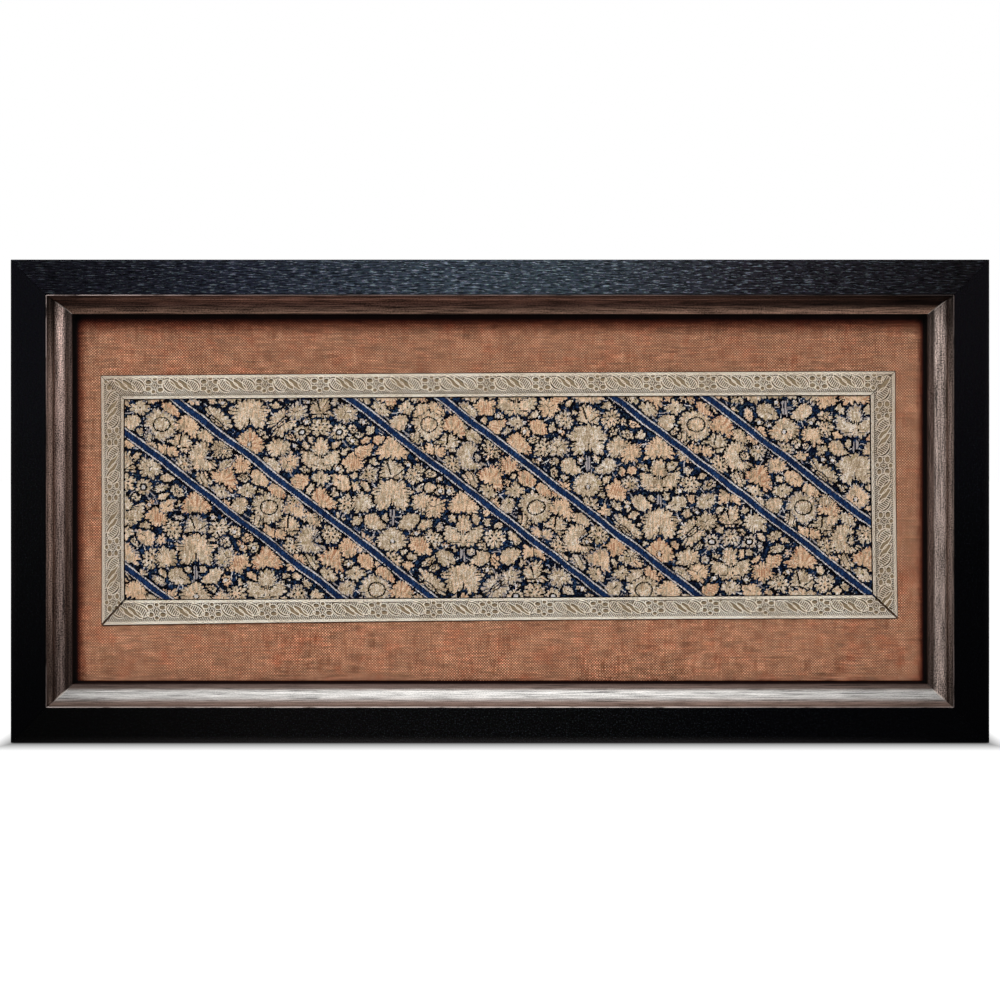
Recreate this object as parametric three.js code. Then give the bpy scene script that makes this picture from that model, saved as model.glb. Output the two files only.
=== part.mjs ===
// Framed needlework panel: a strip of old silk-embroidered cloth, edged with metal-thread braid and laid
// on stretched terracotta linen, in a black moulding with a bronze slip.
// Millimetres, +Z up. X runs along the width and the front faces -Y. The origin is the frame's middle.
// Sections are drawn as (inset, depth): in from the frame's outer edge, and back from its front face.

import * as THREE from 'three';

// The frame
const frameWidth = 761;
const frameHeight = 376;
const frameDepth = 34;
const joinGap = 0.3;            // left between pieces that touch
const mitreTrim = 0.21;         // off each end, which leaves joinGap across a 45 degree mitre

// The black rail
const railFace = 27.2;          // width of the flat black face
const railOuterEase = 1.6;      // rounding of the outer arris
const railInnerEase = 0.6;      // rounding of the arris beside the slip
const railLip = 9;              // thickness in front of the rebate
const rebateWidth = 7.2;        // how far the rebate is cut into the rail

// The bronze slip: a narrow fillet, a hollow that slopes in and back, and a lip at the sight edge
const slipSetBack = 0.6;        // fillet behind the black face
const slipFillet = 0.8;
const slipStep = 1.1;           // drop from the fillet to the hollow
const slipFace = 12.7;          // whole width seen from the front
const slipSlope = 13.9;         // how far back the sight edge lies from the fillet
const slipLip = 1.2;
const slipLipFall = 0.6;
const slipHollow = 1.8;         // depth of the hollow below a straight slope
const slipBack = 1.5;           // thickness at the sight edge

// The black fillet strips that hold the linen back from the slip
const filletWidth = 7;
const filletHeight = 6.6;

// The board and the linen stretched over it
const linenThickness = 1;
const boardThickness = 5;
const boardClearance = 0.5;     // to the rebate's wall, all round

// The needlework and its braid
const needleworkThickness = 1;
const braidThickness = 1;
const braidLap = 4;             // how far the braid covers the needlework's raw edge
const braidRamp = 3;            // stretch over which the braid climbs onto the needlework
const braidCells = 16;          // steps along a length of braid

// Corners of the braid in the plane of the linen, at its outer and its inner edge. It was laid by hand,
// so no two are square to each other. The slit is what each end is short of its mitre: the top corners
// are folded tight, and the bottom ones gape.
const braidCorners = {
  topLeft: { outerX: -320, outerZ: 99, innerX: -300.2, innerZ: 79.4, slit: 0.2 },
  topRight: { outerX: 317, outerZ: 102.6, innerX: 295.8, innerZ: 82.6, slit: 0.2 },
  bottomRight: { outerX: 319, outerZ: -96, innerX: 297.8, innerZ: -76.4, slit: 0.5 },
  bottomLeft: { outerX: -319.4, outerZ: -101.6, innerX: -300, innerZ: -80.4, slit: 0.5 },
};

// The four lengths of braid, clockwise from the front. A bow is how far the middle of an edge stands out
// from a straight line.
const braidLengths = [
  { side: 'top', from: 'topLeft', to: 'topRight', outerBow: 0.4, innerBow: 0.5 },
  { side: 'right', from: 'topRight', to: 'bottomRight', outerBow: -0.5, innerBow: -0.3 },
  { side: 'bottom', from: 'bottomRight', to: 'bottomLeft', outerBow: -1.2, innerBow: 0.4 },
  { side: 'left', from: 'bottomLeft', to: 'topLeft', outerBow: -0.4, innerBow: 0.3 },
];

// Depths and insets that follow
const slipOuter = railFace + joinGap;
const sightInset = slipOuter + slipFace;
const sightDepth = slipSetBack + slipSlope;
const slipBackDepth = sightDepth + slipBack;
const filletFront = slipBackDepth + joinGap;
const filletBack = filletFront + filletHeight;
const linenFront = filletBack + joinGap;
const linenBack = linenFront + linenThickness;
const boardFront = linenBack + joinGap;
const boardBack = boardFront + boardThickness;
const boardInset = railFace - rebateWidth + boardClearance;
const needleworkBack = linenFront - joinGap;
const needleworkFront = needleworkBack - needleworkThickness;
const braidBack = needleworkBack;
const lapBack = needleworkFront - joinGap;
const nominalBraidWidth = braidCorners.topLeft.outerZ - braidCorners.topLeft.innerZ;

const finishes = {
  rail: new THREE.MeshStandardMaterial({ color: 0x0c0c0e, roughness: 0.42, metalness: 0 }),
  slip: new THREE.MeshStandardMaterial({ color: 0x8a7a72, roughness: 0.38, metalness: 0.6 }),
  fillet: new THREE.MeshStandardMaterial({ color: 0x050505, roughness: 0.8, metalness: 0 }),
  board: new THREE.MeshStandardMaterial({ color: 0x8c7358, roughness: 0.9, metalness: 0 }),
  linen: new THREE.MeshStandardMaterial({ color: 0x9a6a50, roughness: 0.95, metalness: 0 }),
  needlework: new THREE.MeshStandardMaterial({ color: 0x20305c, roughness: 0.8, metalness: 0 }),
  braid: new THREE.MeshStandardMaterial({ color: 0xa8957f, roughness: 0.55, metalness: 0.3 }),
};

const panel = new THREE.Group();

// Moves every vertex of a geometry to where place(x, y, z) says, and makes it faceted.
function carry(geometry, place) {
  const position = geometry.attributes.position;
  for (let i = 0; i < position.count; i += 1) {
    const spot = place(position.getX(i), position.getY(i), position.getZ(i));
    position.setXYZ(i, spot.x, spot.y, spot.z);
  }
  geometry.computeVertexNormals();
  return geometry;
}

function addMesh(name, geometry, finish) {
  const mesh = new THREE.Mesh(geometry, finish);
  mesh.name = name;
  panel.add(mesh);
  return mesh;
}

// One moulding for each side of the frame: the section is extruded over the side's length, and both ends
// are sheared to 45 degrees. It is made for the top side and turned about Y to its own.
const frameSides = [
  { side: 'top', length: frameWidth, reach: frameHeight / 2, turn: 0 },
  { side: 'right', length: frameHeight, reach: frameWidth / 2, turn: Math.PI / 2 },
  { side: 'bottom', length: frameWidth, reach: frameHeight / 2, turn: Math.PI },
  { side: 'left', length: frameHeight, reach: frameWidth / 2, turn: -Math.PI / 2 },
];

function addMouldings(name, section, finish) {
  for (const { side, length, reach, turn } of frameSides) {
    const bar = new THREE.ExtrudeGeometry(section, { depth: 1, bevelEnabled: false, curveSegments: 6 });
    const mitred = carry(bar, (inset, depth, end) => {
      const half = length / 2 - inset - mitreTrim;
      return new THREE.Vector3((2 * end - 1) * half, depth - frameDepth / 2, reach - inset);
    });
    addMesh(`${name}_${side}`, mitred, finish).rotation.y = turn;
  }
}

function railSection() {
  const section = new THREE.Shape();
  const rebateInset = railFace - rebateWidth;
  section.moveTo(0, frameDepth);
  section.lineTo(0, railOuterEase);
  section.absarc(railOuterEase, railOuterEase, railOuterEase, Math.PI, 1.5 * Math.PI, false);
  section.lineTo(railFace - railInnerEase, 0);
  section.absarc(railFace - railInnerEase, railInnerEase, railInnerEase, -0.5 * Math.PI, 0, false);
  section.lineTo(railFace, railLip);
  section.lineTo(rebateInset, railLip);
  section.lineTo(rebateInset, frameDepth);
  return section;
}

function slipSection() {
  const section = new THREE.Shape();
  const hollowStart = new THREE.Vector2(slipOuter + slipFillet + 0.3, slipSetBack + slipStep);
  const hollowEnd = new THREE.Vector2(sightInset - slipLip, sightDepth - slipLipFall);
  const slope = hollowEnd.clone().sub(hollowStart).normalize();
  const into = new THREE.Vector2(-slope.y, slope.x).multiplyScalar(2 * slipHollow);
  const control = hollowStart.clone().add(hollowEnd).multiplyScalar(0.5).add(into);
  const flangeInset = railFace - rebateWidth + joinGap;
  const flangeFront = railLip + joinGap;
  section.moveTo(slipOuter, flangeFront);
  section.lineTo(slipOuter, slipSetBack);
  section.lineTo(slipOuter + slipFillet, slipSetBack);
  section.lineTo(hollowStart.x, hollowStart.y);
  section.quadraticCurveTo(control.x, control.y, hollowEnd.x, hollowEnd.y);
  section.lineTo(sightInset, sightDepth);
  section.lineTo(sightInset, slipBackDepth);
  section.lineTo(flangeInset, slipBackDepth);
  section.lineTo(flangeInset, flangeFront);
  return section;
}

function rectangle(lowX, lowY, highX, highY) {
  const outline = new THREE.Shape();
  outline.moveTo(lowX, lowY);
  outline.lineTo(highX, lowY);
  outline.lineTo(highX, highY);
  outline.lineTo(lowX, highY);
  return outline;
}

// A flat sheet that fills the depths between front and back. Its outline is drawn as (x, z) seen from
// behind, so that the extrusion runs back along +Y.
function addSheet(name, outline, front, back, finish) {
  const slab = new THREE.ExtrudeGeometry(outline, { depth: back - front, bevelEnabled: false });
  const placed = carry(slab, (x, z, behind) => new THREE.Vector3(-x, front + behind - frameDepth / 2, z));
  addMesh(name, placed, finish);
}

// A point on a length of braid: along runs from 0 to 1 between its ends, across from 0 at its outer edge
// to 1 at its inner edge. A closed one runs right up to its mitres.
function braidPoint(length, along, across, closed) {
  const start = braidCorners[length.from];
  const end = braidCorners[length.to];
  const edge = (kind, bow) => {
    const first = new THREE.Vector2(start[`${kind}X`], start[`${kind}Z`]);
    const last = new THREE.Vector2(end[`${kind}X`], end[`${kind}Z`]);
    const direction = last.clone().sub(first).normalize();
    const outward = new THREE.Vector2(-direction.y, direction.x);
    if (!closed) {
      first.addScaledVector(direction, start.slit);
      last.addScaledVector(direction, -end.slit);
    }
    return first.lerp(last, along).addScaledVector(outward, 4 * bow * along * (1 - along));
  };
  return edge('outer', length.outerBow).lerp(edge('inner', length.innerBow), across);
}

// The braid's section as (distance in from its outer edge, depth): it lies on the linen, then climbs and
// laps over the needlework's raw edge.
function braidSection() {
  const section = new THREE.Shape();
  const lapStart = nominalBraidWidth - braidLap;
  section.moveTo(0, braidBack);
  section.lineTo(0, braidBack - braidThickness);
  section.lineTo(lapStart - braidRamp, braidBack - braidThickness - 0.3);
  section.lineTo(lapStart, lapBack - braidThickness);
  section.lineTo(nominalBraidWidth, lapBack - braidThickness);
  section.lineTo(nominalBraidWidth, lapBack);
  section.lineTo(lapStart - 0.4, lapBack);
  section.lineTo(lapStart - 1.2, braidBack);
  return section;
}

function addBraid(length) {
  const options = { depth: 1, steps: braidCells, bevelEnabled: false };
  const strip = new THREE.ExtrudeGeometry(braidSection(), options);
  const laid = carry(strip, (across, depth, along) => {
    const spot = braidPoint(length, along, across / nominalBraidWidth, false);
    return new THREE.Vector3(spot.x, depth - frameDepth / 2, spot.y);
  });
  addMesh(`braid_${length.side}`, laid, finishes.braid);
}

// The needlework reaches under the braid by its lap, all round.
function needleworkOutline() {
  const across = 1 - braidLap / nominalBraidWidth;
  const points = [];
  for (const length of braidLengths) {
    for (let cell = 0; cell < braidCells; cell += 1) {
      points.push(braidPoint(length, cell / braidCells, across, true));
    }
  }
  return new THREE.Shape(points.map((point) => new THREE.Vector2(-point.x, point.y)));
}

addMouldings('rail', railSection(), finishes.rail);
addMouldings('slip', slipSection(), finishes.slip);
const filletSection = rectangle(sightInset - filletWidth, filletFront, sightInset, filletBack);
addMouldings('fillet', filletSection, finishes.fillet);

const halfWidth = frameWidth / 2 - boardInset;
const halfHeight = frameHeight / 2 - boardInset;
const boardOutline = rectangle(-halfWidth, -halfHeight, halfWidth, halfHeight);
addSheet('mount_board', boardOutline, boardFront, boardBack, finishes.board);
addSheet('linen', boardOutline, linenFront, linenBack, finishes.linen);
addSheet('needlework', needleworkOutline(), needleworkFront, needleworkBack, finishes.needlework);
braidLengths.forEach(addBraid);

export default panel;
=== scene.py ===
import math
import bmesh
import bpy
import numpy as np
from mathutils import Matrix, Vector


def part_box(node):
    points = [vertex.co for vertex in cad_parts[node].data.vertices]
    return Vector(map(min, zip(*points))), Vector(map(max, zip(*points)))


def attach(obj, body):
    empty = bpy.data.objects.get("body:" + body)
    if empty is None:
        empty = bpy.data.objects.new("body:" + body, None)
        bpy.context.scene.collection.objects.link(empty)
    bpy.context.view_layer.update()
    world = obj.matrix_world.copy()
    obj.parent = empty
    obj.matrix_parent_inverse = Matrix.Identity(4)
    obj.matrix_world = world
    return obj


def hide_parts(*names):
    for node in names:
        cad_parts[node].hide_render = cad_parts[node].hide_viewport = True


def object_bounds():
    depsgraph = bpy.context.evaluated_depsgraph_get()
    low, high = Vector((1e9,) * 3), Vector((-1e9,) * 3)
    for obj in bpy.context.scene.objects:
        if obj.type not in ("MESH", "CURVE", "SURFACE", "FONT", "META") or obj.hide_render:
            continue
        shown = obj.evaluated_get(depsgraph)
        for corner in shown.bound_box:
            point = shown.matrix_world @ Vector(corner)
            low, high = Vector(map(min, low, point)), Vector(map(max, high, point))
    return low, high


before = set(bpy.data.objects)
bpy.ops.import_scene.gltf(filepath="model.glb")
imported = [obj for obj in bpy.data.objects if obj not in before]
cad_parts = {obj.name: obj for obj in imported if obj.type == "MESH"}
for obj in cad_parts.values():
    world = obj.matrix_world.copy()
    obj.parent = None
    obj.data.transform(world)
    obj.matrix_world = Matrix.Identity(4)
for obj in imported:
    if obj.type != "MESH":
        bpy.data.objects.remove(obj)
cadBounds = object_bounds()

mm = 0.001
frameBox = [tuple(corner) for corner in cadBounds]
frontY = frameBox[0][1]                                   # the front face of the black rails


def boxOf(node):
    low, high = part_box(node)
    return np.array(low), np.array(high)


def srgb(red, green, blue):
    def linear(value):
        value /= 255
        return value / 12.92 if value <= 0.04045 else ((value + 0.055) / 1.055) ** 2.4
    return linear(red), linear(green), linear(blue), 1.0


# ---------- mesh helpers

def newMesh(name, points, faces):
    mesh = bpy.data.meshes.new(name)
    mesh.from_pydata([tuple(p) for p in points], [], [tuple(f) for f in faces])
    mesh.update()
    return mesh


def newPiece(name, mesh):
    piece = bpy.data.objects.new(name, mesh)
    bpy.context.scene.collection.objects.link(piece)
    return piece


def faceOutward(mesh, splitCaps=False):
    work = bmesh.new()
    work.from_mesh(mesh)
    if splitCaps:
        bmesh.ops.triangulate(work, faces=[f for f in work.faces if len(f.verts) > 4])
    bmesh.ops.recalc_face_normals(work, faces=work.faces)
    work.to_mesh(mesh)
    work.free()


def addAttribute(mesh, name, kind, values):
    data = mesh.attributes.new(name, kind, "POINT").data
    data.foreach_set("vector" if kind == "FLOAT_VECTOR" else "value",
                     np.asarray(values, np.float32).ravel())


def pointsOf(mesh):
    points = np.zeros(len(mesh.vertices) * 3, np.float32)
    mesh.vertices.foreach_get("co", points)
    return points.reshape(-1, 3)


def flatMap(mesh, low, span):
    # a plain map of the front, by which the finish is baked
    layer = mesh.uv_layers.get("OFBake") or mesh.uv_layers.new(name="OFBake")
    corners = np.zeros(len(mesh.loops), np.int32)
    mesh.loops.foreach_get("vertex_index", corners)
    flat = (pointsOf(mesh)[:, [0, 2]] - np.array(low)) / span
    layer.data.foreach_set("uv", flat[corners].astype(np.float32).ravel())


def smoothShade(mesh, angle=None):
    mesh.polygons.foreach_set("use_smooth", [True] * len(mesh.polygons))
    if angle is not None:
        mesh.set_sharp_from_angle(angle=math.radians(angle))


# ---------- node helpers: values are sockets or plain numbers, and a socket knows its own tree

def addNode(tree, kind, **settings):
    node = tree.nodes.new(kind)
    for name, value in settings.items():
        setattr(node, name, value)
    return node


def join(start, end):
    end.id_data.links.new(start, end)


def feed(tree, kind, sockets, **settings):
    # a new node with its inputs set or linked; sockets pairs each input with its value
    node = addNode(tree, kind, **settings)
    for label, value in sockets:
        if isinstance(value, bpy.types.NodeSocket):
            join(value, node.inputs[label])
        else:
            node.inputs[label].default_value = value
    return node


def treeOf(*values):
    return next(value.id_data for value in values if isinstance(value, bpy.types.NodeSocket))


def mathNode(operation, *values):
    return feed(treeOf(*values), "ShaderNodeMath", enumerate(values), operation=operation).outputs[0]


def plus(first, second):
    return mathNode("ADD", first, second)


def minus(first, second):
    return mathNode("SUBTRACT", first, second)


def times(first, second):
    return mathNode("MULTIPLY", first, second)


def blend(factor, first, second, mode="MIX"):
    tree = treeOf(factor, first, second)
    pairs = ((0, factor), (6, first), (7, second))
    return feed(tree, "ShaderNodeMix", pairs, data_type="RGBA", blend_type=mode).outputs[2]


def tinted(colour, tint):
    return blend(1.0, colour, tint, "MULTIPLY")


def noiseAt(vector, scale, detail=3.0, roughness=0.55, stretch=(1, 1, 1)):
    tree = vector.id_data
    mapping = addNode(tree, "ShaderNodeMapping")
    noise = feed(tree, "ShaderNodeTexNoise", (("Scale", scale), ("Detail", detail),
                                              ("Roughness", roughness)))
    mapping.inputs["Scale"].default_value = stretch
    join(vector, mapping.inputs["Vector"])
    join(mapping.outputs[0], noise.inputs["Vector"])
    return noise.outputs["Fac"]


def ramp(factor, stops):
    # stops pair a position with a colour, either 0 to 255 or one that is ready for Blender
    node = feed(factor.id_data, "ShaderNodeValToRGB", ((0, factor),))
    elements = node.color_ramp.elements
    while len(elements) < len(stops):
        elements.new(0.5)
    for element, (position, colour) in zip(elements, stops):
        element.position = position
        element.color = srgb(*colour) if len(colour) == 3 else colour
    return node.outputs["Color"]


def maskBetween(value, low, high):
    pairs = (("From Min", low), ("From Max", high), ("Value", value))
    return feed(value.id_data, "ShaderNodeMapRange", pairs, clamp=True).outputs["Result"]


def axes(vector):
    return feed(vector.id_data, "ShaderNodeSeparateXYZ", ((0, vector),)).outputs


def newMaterial(name, roughness=0.7, metallic=0.0, specular=0.3, sheen=0.0):
    material = bpy.data.materials.new(name)
    material.use_nodes = True
    shader = material.node_tree.nodes["Principled BSDF"]
    for label, value in (("Roughness", roughness), ("Metallic", metallic),
                         ("Specular IOR Level", specular), ("Sheen Weight", sheen)):
        shader.inputs[label].default_value = value
    return material, material.node_tree, shader


def objectVector(tree):
    return addNode(tree, "ShaderNodeTexCoord").outputs["Object"]


def runVector(tree):
    return addNode(tree, "ShaderNodeAttribute", attribute_name="run").outputs["Vector"]


def finishWith(shader, colour, height, strength, distance):
    join(colour, shader.inputs["Base Color"])
    pairs = (("Strength", strength), ("Distance", distance), ("Height", height))
    bump = feed(shader.id_data, "ShaderNodeBump", pairs)
    join(bump.outputs["Normal"], shader.inputs["Normal"])


def newGroup(name, inputs, outputs, treeKind="ShaderNodeTree"):
    group = bpy.data.node_groups.new(name, treeKind)
    for way, sockets in (("INPUT", inputs), ("OUTPUT", outputs)):
        for label, kind, *value in sockets:
            socket = group.interface.new_socket(name=label, in_out=way, socket_type="NodeSocket" + kind)
            if value:
                socket.default_value = value[0]
    return group, group.nodes.new("NodeGroupInput").outputs, group.nodes.new("NodeGroupOutput").inputs


def useGroup(group, vector, **values):
    pairs = [("Vector", vector), *values.items()]
    return feed(vector.id_data, "ShaderNodeGroup", pairs, node_tree=group).outputs


# ---------- shared effects

def buildStreaks():
    # long fine lines that follow one direction, like brush marks in leaf
    group, start, end = newGroup("lengthwiseStreaks", [("Vector", "Vector"), ("Fineness", "Float", 900.0),
                                                       ("Depth", "Float", 0.5)], [("Lines", "Float")])
    pairs = (("Vector", start["Vector"]), ("Scale", start["Fineness"]), ("Detail", 4), ("Roughness", 0.62))
    lines = maskBetween(feed(group, "ShaderNodeTexNoise", pairs).outputs["Fac"], 0.32, 0.68)
    join(mathNode("POWER", lines, start["Depth"]), end["Lines"])
    return group


def chancePerCell(group, column, row):
    cell = feed(group, "ShaderNodeCombineXYZ", ((0, mathNode("FLOOR", column)),
                                                (1, mathNode("FLOOR", row))))
    return feed(group, "ShaderNodeTexWhiteNoise", (("Vector", cell.outputs[0]),)).outputs


def buildWeave():
    # plain weave: two sets of threads that pass over and under each other
    group, start, end = newGroup("plainWeave", [("Vector", "Vector"), ("Threads", "Float", 1500.0)],
                                 [("Height", "Float"), ("Gaps", "Float"), ("Over", "Float"),
                                  ("Crossing", "Float")])
    split = axes(start["Vector"])
    turn = times(start["Threads"], math.pi)
    across, up = (mathNode("SINE", times(split[label], turn)) for label in ("X", "Z"))
    warp, weft = mathNode("ABSOLUTE", across), mathNode("ABSOLUTE", up)
    over = maskBetween(times(across, up), -0.25, 0.25)
    height = feed(group, "ShaderNodeMix", ((0, over), (2, warp), (3, weft)), data_type="FLOAT")
    cell = chancePerCell(group, *(times(split[label], start["Threads"]) for label in ("X", "Z")))
    for label, value in (("Height", height.outputs[0]), ("Gaps", times(warp, weft)), ("Over", over),
                         ("Crossing", cell["Value"])):
        join(value, end[label])
    return group


def buildTentRows():
    # rows of short slanting stitches, one in every square of the count
    group, start, end = newGroup("tentRows", [("Vector", "Vector"), ("Count", "Float", 1500.0)],
                                 [("Height", "Float"), ("Stitch", "Color")])
    split = axes(start["Vector"])
    x, z = (times(split[label], start["Count"]) for label in ("X", "Z"))
    slant = mathNode("FRACT", minus(x, z))
    ridge = minus(1.0, mathNode("ABSOLUTE", minus(times(slant, 2.0), 1.0)))
    row = mathNode("FRACT", z)
    arch = times(times(row, minus(1.0, row)), 4.0)
    join(times(ridge, mathNode("POWER", arch, 0.4)), end["Height"])
    join(chancePerCell(group, minus(x, z), z)["Color"], end["Stitch"])
    return group


streaks, plainWeave, tentRows = buildStreaks(), buildWeave(), buildTentRows()
print("shared effects ready")


# ---------- frame mouldings

railForm = {
    "face": 27.2, "depth": 34.0, "outerEase": 1.6, "innerEase": 0.6, "lip": 9.0, "rebate": 7.2,
    "chamfer": 0.5, "sideCuts": (20.0, 8.0), "faceCuts": (6.0, 10.5, 15.0, 19.5, 24.0), "mitre": 0.21,
    "cut": 9.0, "dent": 0.10,
}
slipForm = {
    "outer": 27.5, "sight": {"top": 40.6, "right": 41.4, "bottom": 42.0, "left": 41.0}, "setBack": 0.6,
    "fillet": 0.8, "step": 1.1, "sightDepth": 14.5, "lip": 1.2, "lipFall": 0.6, "hollow": 1.8,
    "foot": (20.3, 9.3), "backDepth": 16.0, "steps": 14, "mitre": 0.21, "cut": 9.0, "dent": 0.12,
}
width, height = (frameBox[1][0] - frameBox[0][0]) / mm, (frameBox[1][2] - frameBox[0][2]) / mm
sides = {
    "top": (width, height / 2, 0.0), "right": (height, width / 2, math.pi / 2),
    "bottom": (width, height / 2, math.pi), "left": (height, width / 2, -math.pi / 2),
}


def arc(centreX, centreY, radius, first, last, steps):
    angles = np.linspace(math.radians(first), math.radians(last), steps)
    return [(centreX + radius * math.cos(a), centreY + radius * math.sin(a)) for a in angles]


def railProfile():
    form = railForm
    ease, inner, face, lip = form["outerEase"], form["innerEase"], form["face"], form["lip"]
    wall, back, chamfer = face - form["rebate"], form["depth"], form["chamfer"]
    points = [(0.0, back - chamfer)] + [(0.0, depth) for depth in form["sideCuts"]]
    points += arc(ease, ease, ease, 180, 270, 7)
    points += [(inset, 0.0) for inset in form["faceCuts"]]
    points += arc(face - inner, inner, inner, 270, 360, 5)
    points += [(face, lip / 2), (face, lip), (wall, lip), (wall, back - chamfer)]
    return points + [(wall - chamfer, back), (chamfer, back)]


def slipProfile(side):
    form = slipForm
    sight = form["sight"][side]
    start = np.array((form["outer"] + form["fillet"] + 0.3, form["setBack"] + form["step"]))
    stop = np.array((sight - form["lip"], form["sightDepth"] - form["lipFall"]))
    slope = (stop - start) / np.linalg.norm(stop - start)
    control = (start + stop) / 2 + np.array((-slope[1], slope[0])) * 2 * form["hollow"]
    edge, face, back = form["outer"], form["setBack"], form["backDepth"]
    foot, under = form["foot"]
    points = [(edge, under), (edge, face + 0.2), (edge + 0.2, face)]
    points += [(edge + form["fillet"] - 0.15, face), (edge + form["fillet"], face + 0.15)]
    for t in np.linspace(0, 1, form["steps"]):
        points.append(tuple((1 - t) ** 2 * start + 2 * t * (1 - t) * control + t ** 2 * stop))
    points += [(sight - 0.25, form["sightDepth"] - 0.1), (sight, form["sightDepth"] + 0.2)]
    return points + [(sight, back), (foot, back), (foot, under)]


def wander(seed, count):
    rng = np.random.default_rng(seed)
    track = rng.normal(0, 1, count + 8)
    kernel = np.array((1, 2, 3, 2, 1)) / 9
    return np.convolve(track, kernel, "same")[4:-4]


def mouldingMesh(name, profile, side, form, seed):
    # the section is carried along the side in short cuts, and each end is sheared to its mitre
    length, reach, turn = sides[side]
    steps = int(round(length / form["cut"]))
    points, faces = [], []
    dents = np.stack([wander(seed + k, steps + 1) for k in range(len(profile))])
    along = np.zeros((steps + 1, len(profile), 3))
    for i in range(steps + 1):
        share = 2 * i / steps - 1
        for k, (inset, depth) in enumerate(profile):
            half = length / 2 - inset - form["mitre"]
            calm = min(1.0, 6 * (1 - abs(share)))
            shift = form["dent"] * dents[k, i] * calm if 0 < k < len(profile) - 4 else 0.0
            x, y, z = share * half, depth + max(shift, 0.0) * 0.5, reach - inset - shift * 0.3
            points.append((x * math.cos(turn) + z * math.sin(turn), y, z * math.cos(turn)
                           - x * math.sin(turn)))
            along[i, k] = (x, 0, 0)
    section = len(profile)
    for i in range(steps):
        for k in range(section):
            after = (k + 1) % section
            faces.append((i * section + k, (i + 1) * section + k, (i + 1) * section + after,
                          i * section + after))
    faces += [tuple(range(section)), tuple(range(steps * section, (steps + 1) * section))]
    place = np.array(points) * mm
    place[:, 1] += frontY
    mesh = newMesh(name, place, faces)
    outline = np.array(profile)
    run = np.concatenate(([0], np.cumsum(np.linalg.norm(np.diff(outline, axis=0), axis=1))))
    values = np.zeros((len(points), 3), np.float32)
    values[:, 0] = (along[:, :, 0] * mm).ravel()
    values[:, 1] = np.tile(run * mm, steps + 1)
    values[:, 2] = np.tile(outline[:, 0] * mm, steps + 1)
    addAttribute(mesh, "run", "FLOAT_VECTOR", values)
    return mesh


# how the tone of each rail changes along it, from its left or upper end (0) to the other (1); the pale
# bluish middle of the top rail is a painted sheen
stainForm = {
    "top": {"sheenDashes": 0.75, "tones": [
        (0.02, (10, 10, 14)), (0.13, (16, 17, 23)), (0.25, (24, 27, 36)), (0.46, (39, 46, 54)),
        (0.57, (39, 46, 53)), (0.66, (35, 38, 44)), (0.75, (26, 25, 30)), (0.97, (13, 12, 14))]},
    "right": {"sheenDashes": 0.0, "tones": [
        (0.0, (14, 13, 16)), (0.2, (11, 10, 13)), (0.47, (5, 5, 7)), (0.6, (2, 2, 3))]},
    "bottom": {"sheenDashes": 0.05, "tones": [
        (0.0, (3, 3, 3)), (0.27, (9, 8, 8)), (0.6, (5, 5, 5)), (0.75, (2, 2, 3))]},
    "left": {"sheenDashes": 0.0, "tones": [
        (0.0, (12, 12, 16)), (0.3, (11, 11, 14)), (0.5, (8, 8, 9)), (0.9, (3, 3, 4))]},
}


def grey(level):
    return level, level, level, 1.0


def alongSide(side, run):
    # 0 at the left or upper end of a side, 1 at the other
    reach = sides[side][0] / 2 * mm * (1 if side in ("top", "right") else -1)
    return maskBetween(run, -reach, reach)


def blackStain(side):
    finish = {"paintedGlint": srgb(160, 172, 186), "worn": srgb(66, 62, 62), "arris": 6.5 * mm, "middle": 0.47,
              "rubbedAndSheen": 0.8 if side == "bottom" else 0.12}
    material, tree, shader = newMaterial(f"blackStain_{side}", 0.55, 0.0, 0.006)
    run = runVector(tree)
    split = axes(run)
    along = alongSide(side, split["X"])
    colour = ramp(along, stainForm[side]["tones"])
    # fine speckle everywhere, and dashes and glints that paint a sheen, mostly in the middle of the top
    # rail
    speckle = maskBetween(noiseAt(run, 1500, 2, 0.7, (0.8, 1, 0)), 0.30, 0.70)
    sheenDashes = maskBetween(noiseAt(run, 950, 2, 0.6, (0.12, 1, 0)), 0.38, 0.62)
    share = stainForm[side]["sheenDashes"]
    rubbedAndSheen = plus(times(sheenDashes, 2.3 * share), times(speckle, 1.6 * (1 - share) + 0.4))
    colour = tinted(colour, plus(rubbedAndSheen, 0.02))
    glints = maskBetween(noiseAt(run, 1000, 3, 0.7, (0.93 - 1.07 * share, 1, 0)), 0.56, 0.65)
    glare = ramp(along, [(0.05, grey(0.12)), (0.45, grey(1.0)), (0.6, grey(1.0)), (0.95, grey(0.12))])
    colour = blend(times(times(glints, glare), 0.02 + 0.8 * share), colour, finish["paintedGlint"])
    tints = feed(tree, "ShaderNodeTexNoise", (("Scale", 520), ("Vector", run)))
    colour = blend(0.35, colour, tinted(colour, tinted(tints.outputs["Color"], (2.0, 2.0, 2.0, 1.0))))
    # the outer arris is worn, mostly along the bottom
    arris = mathNode("POWER", maskBetween(split["Z"], finish["arris"], 0.0), 1.6)
    middle = maskBetween(mathNode("ABSOLUTE", minus(along, finish["middle"])), 0.5, 0.2)
    rubs = times(times(arris, speckle), times(middle, finish["rubbedAndSheen"]))
    colour = blend(rubs, colour, finish["worn"])
    join(plus(0.42, times(speckle, 0.15)), shader.inputs["Roughness"])
    finishWith(shader, colour, plus(sheenDashes, speckle), 0.4, 0.0003)
    return material
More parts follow.
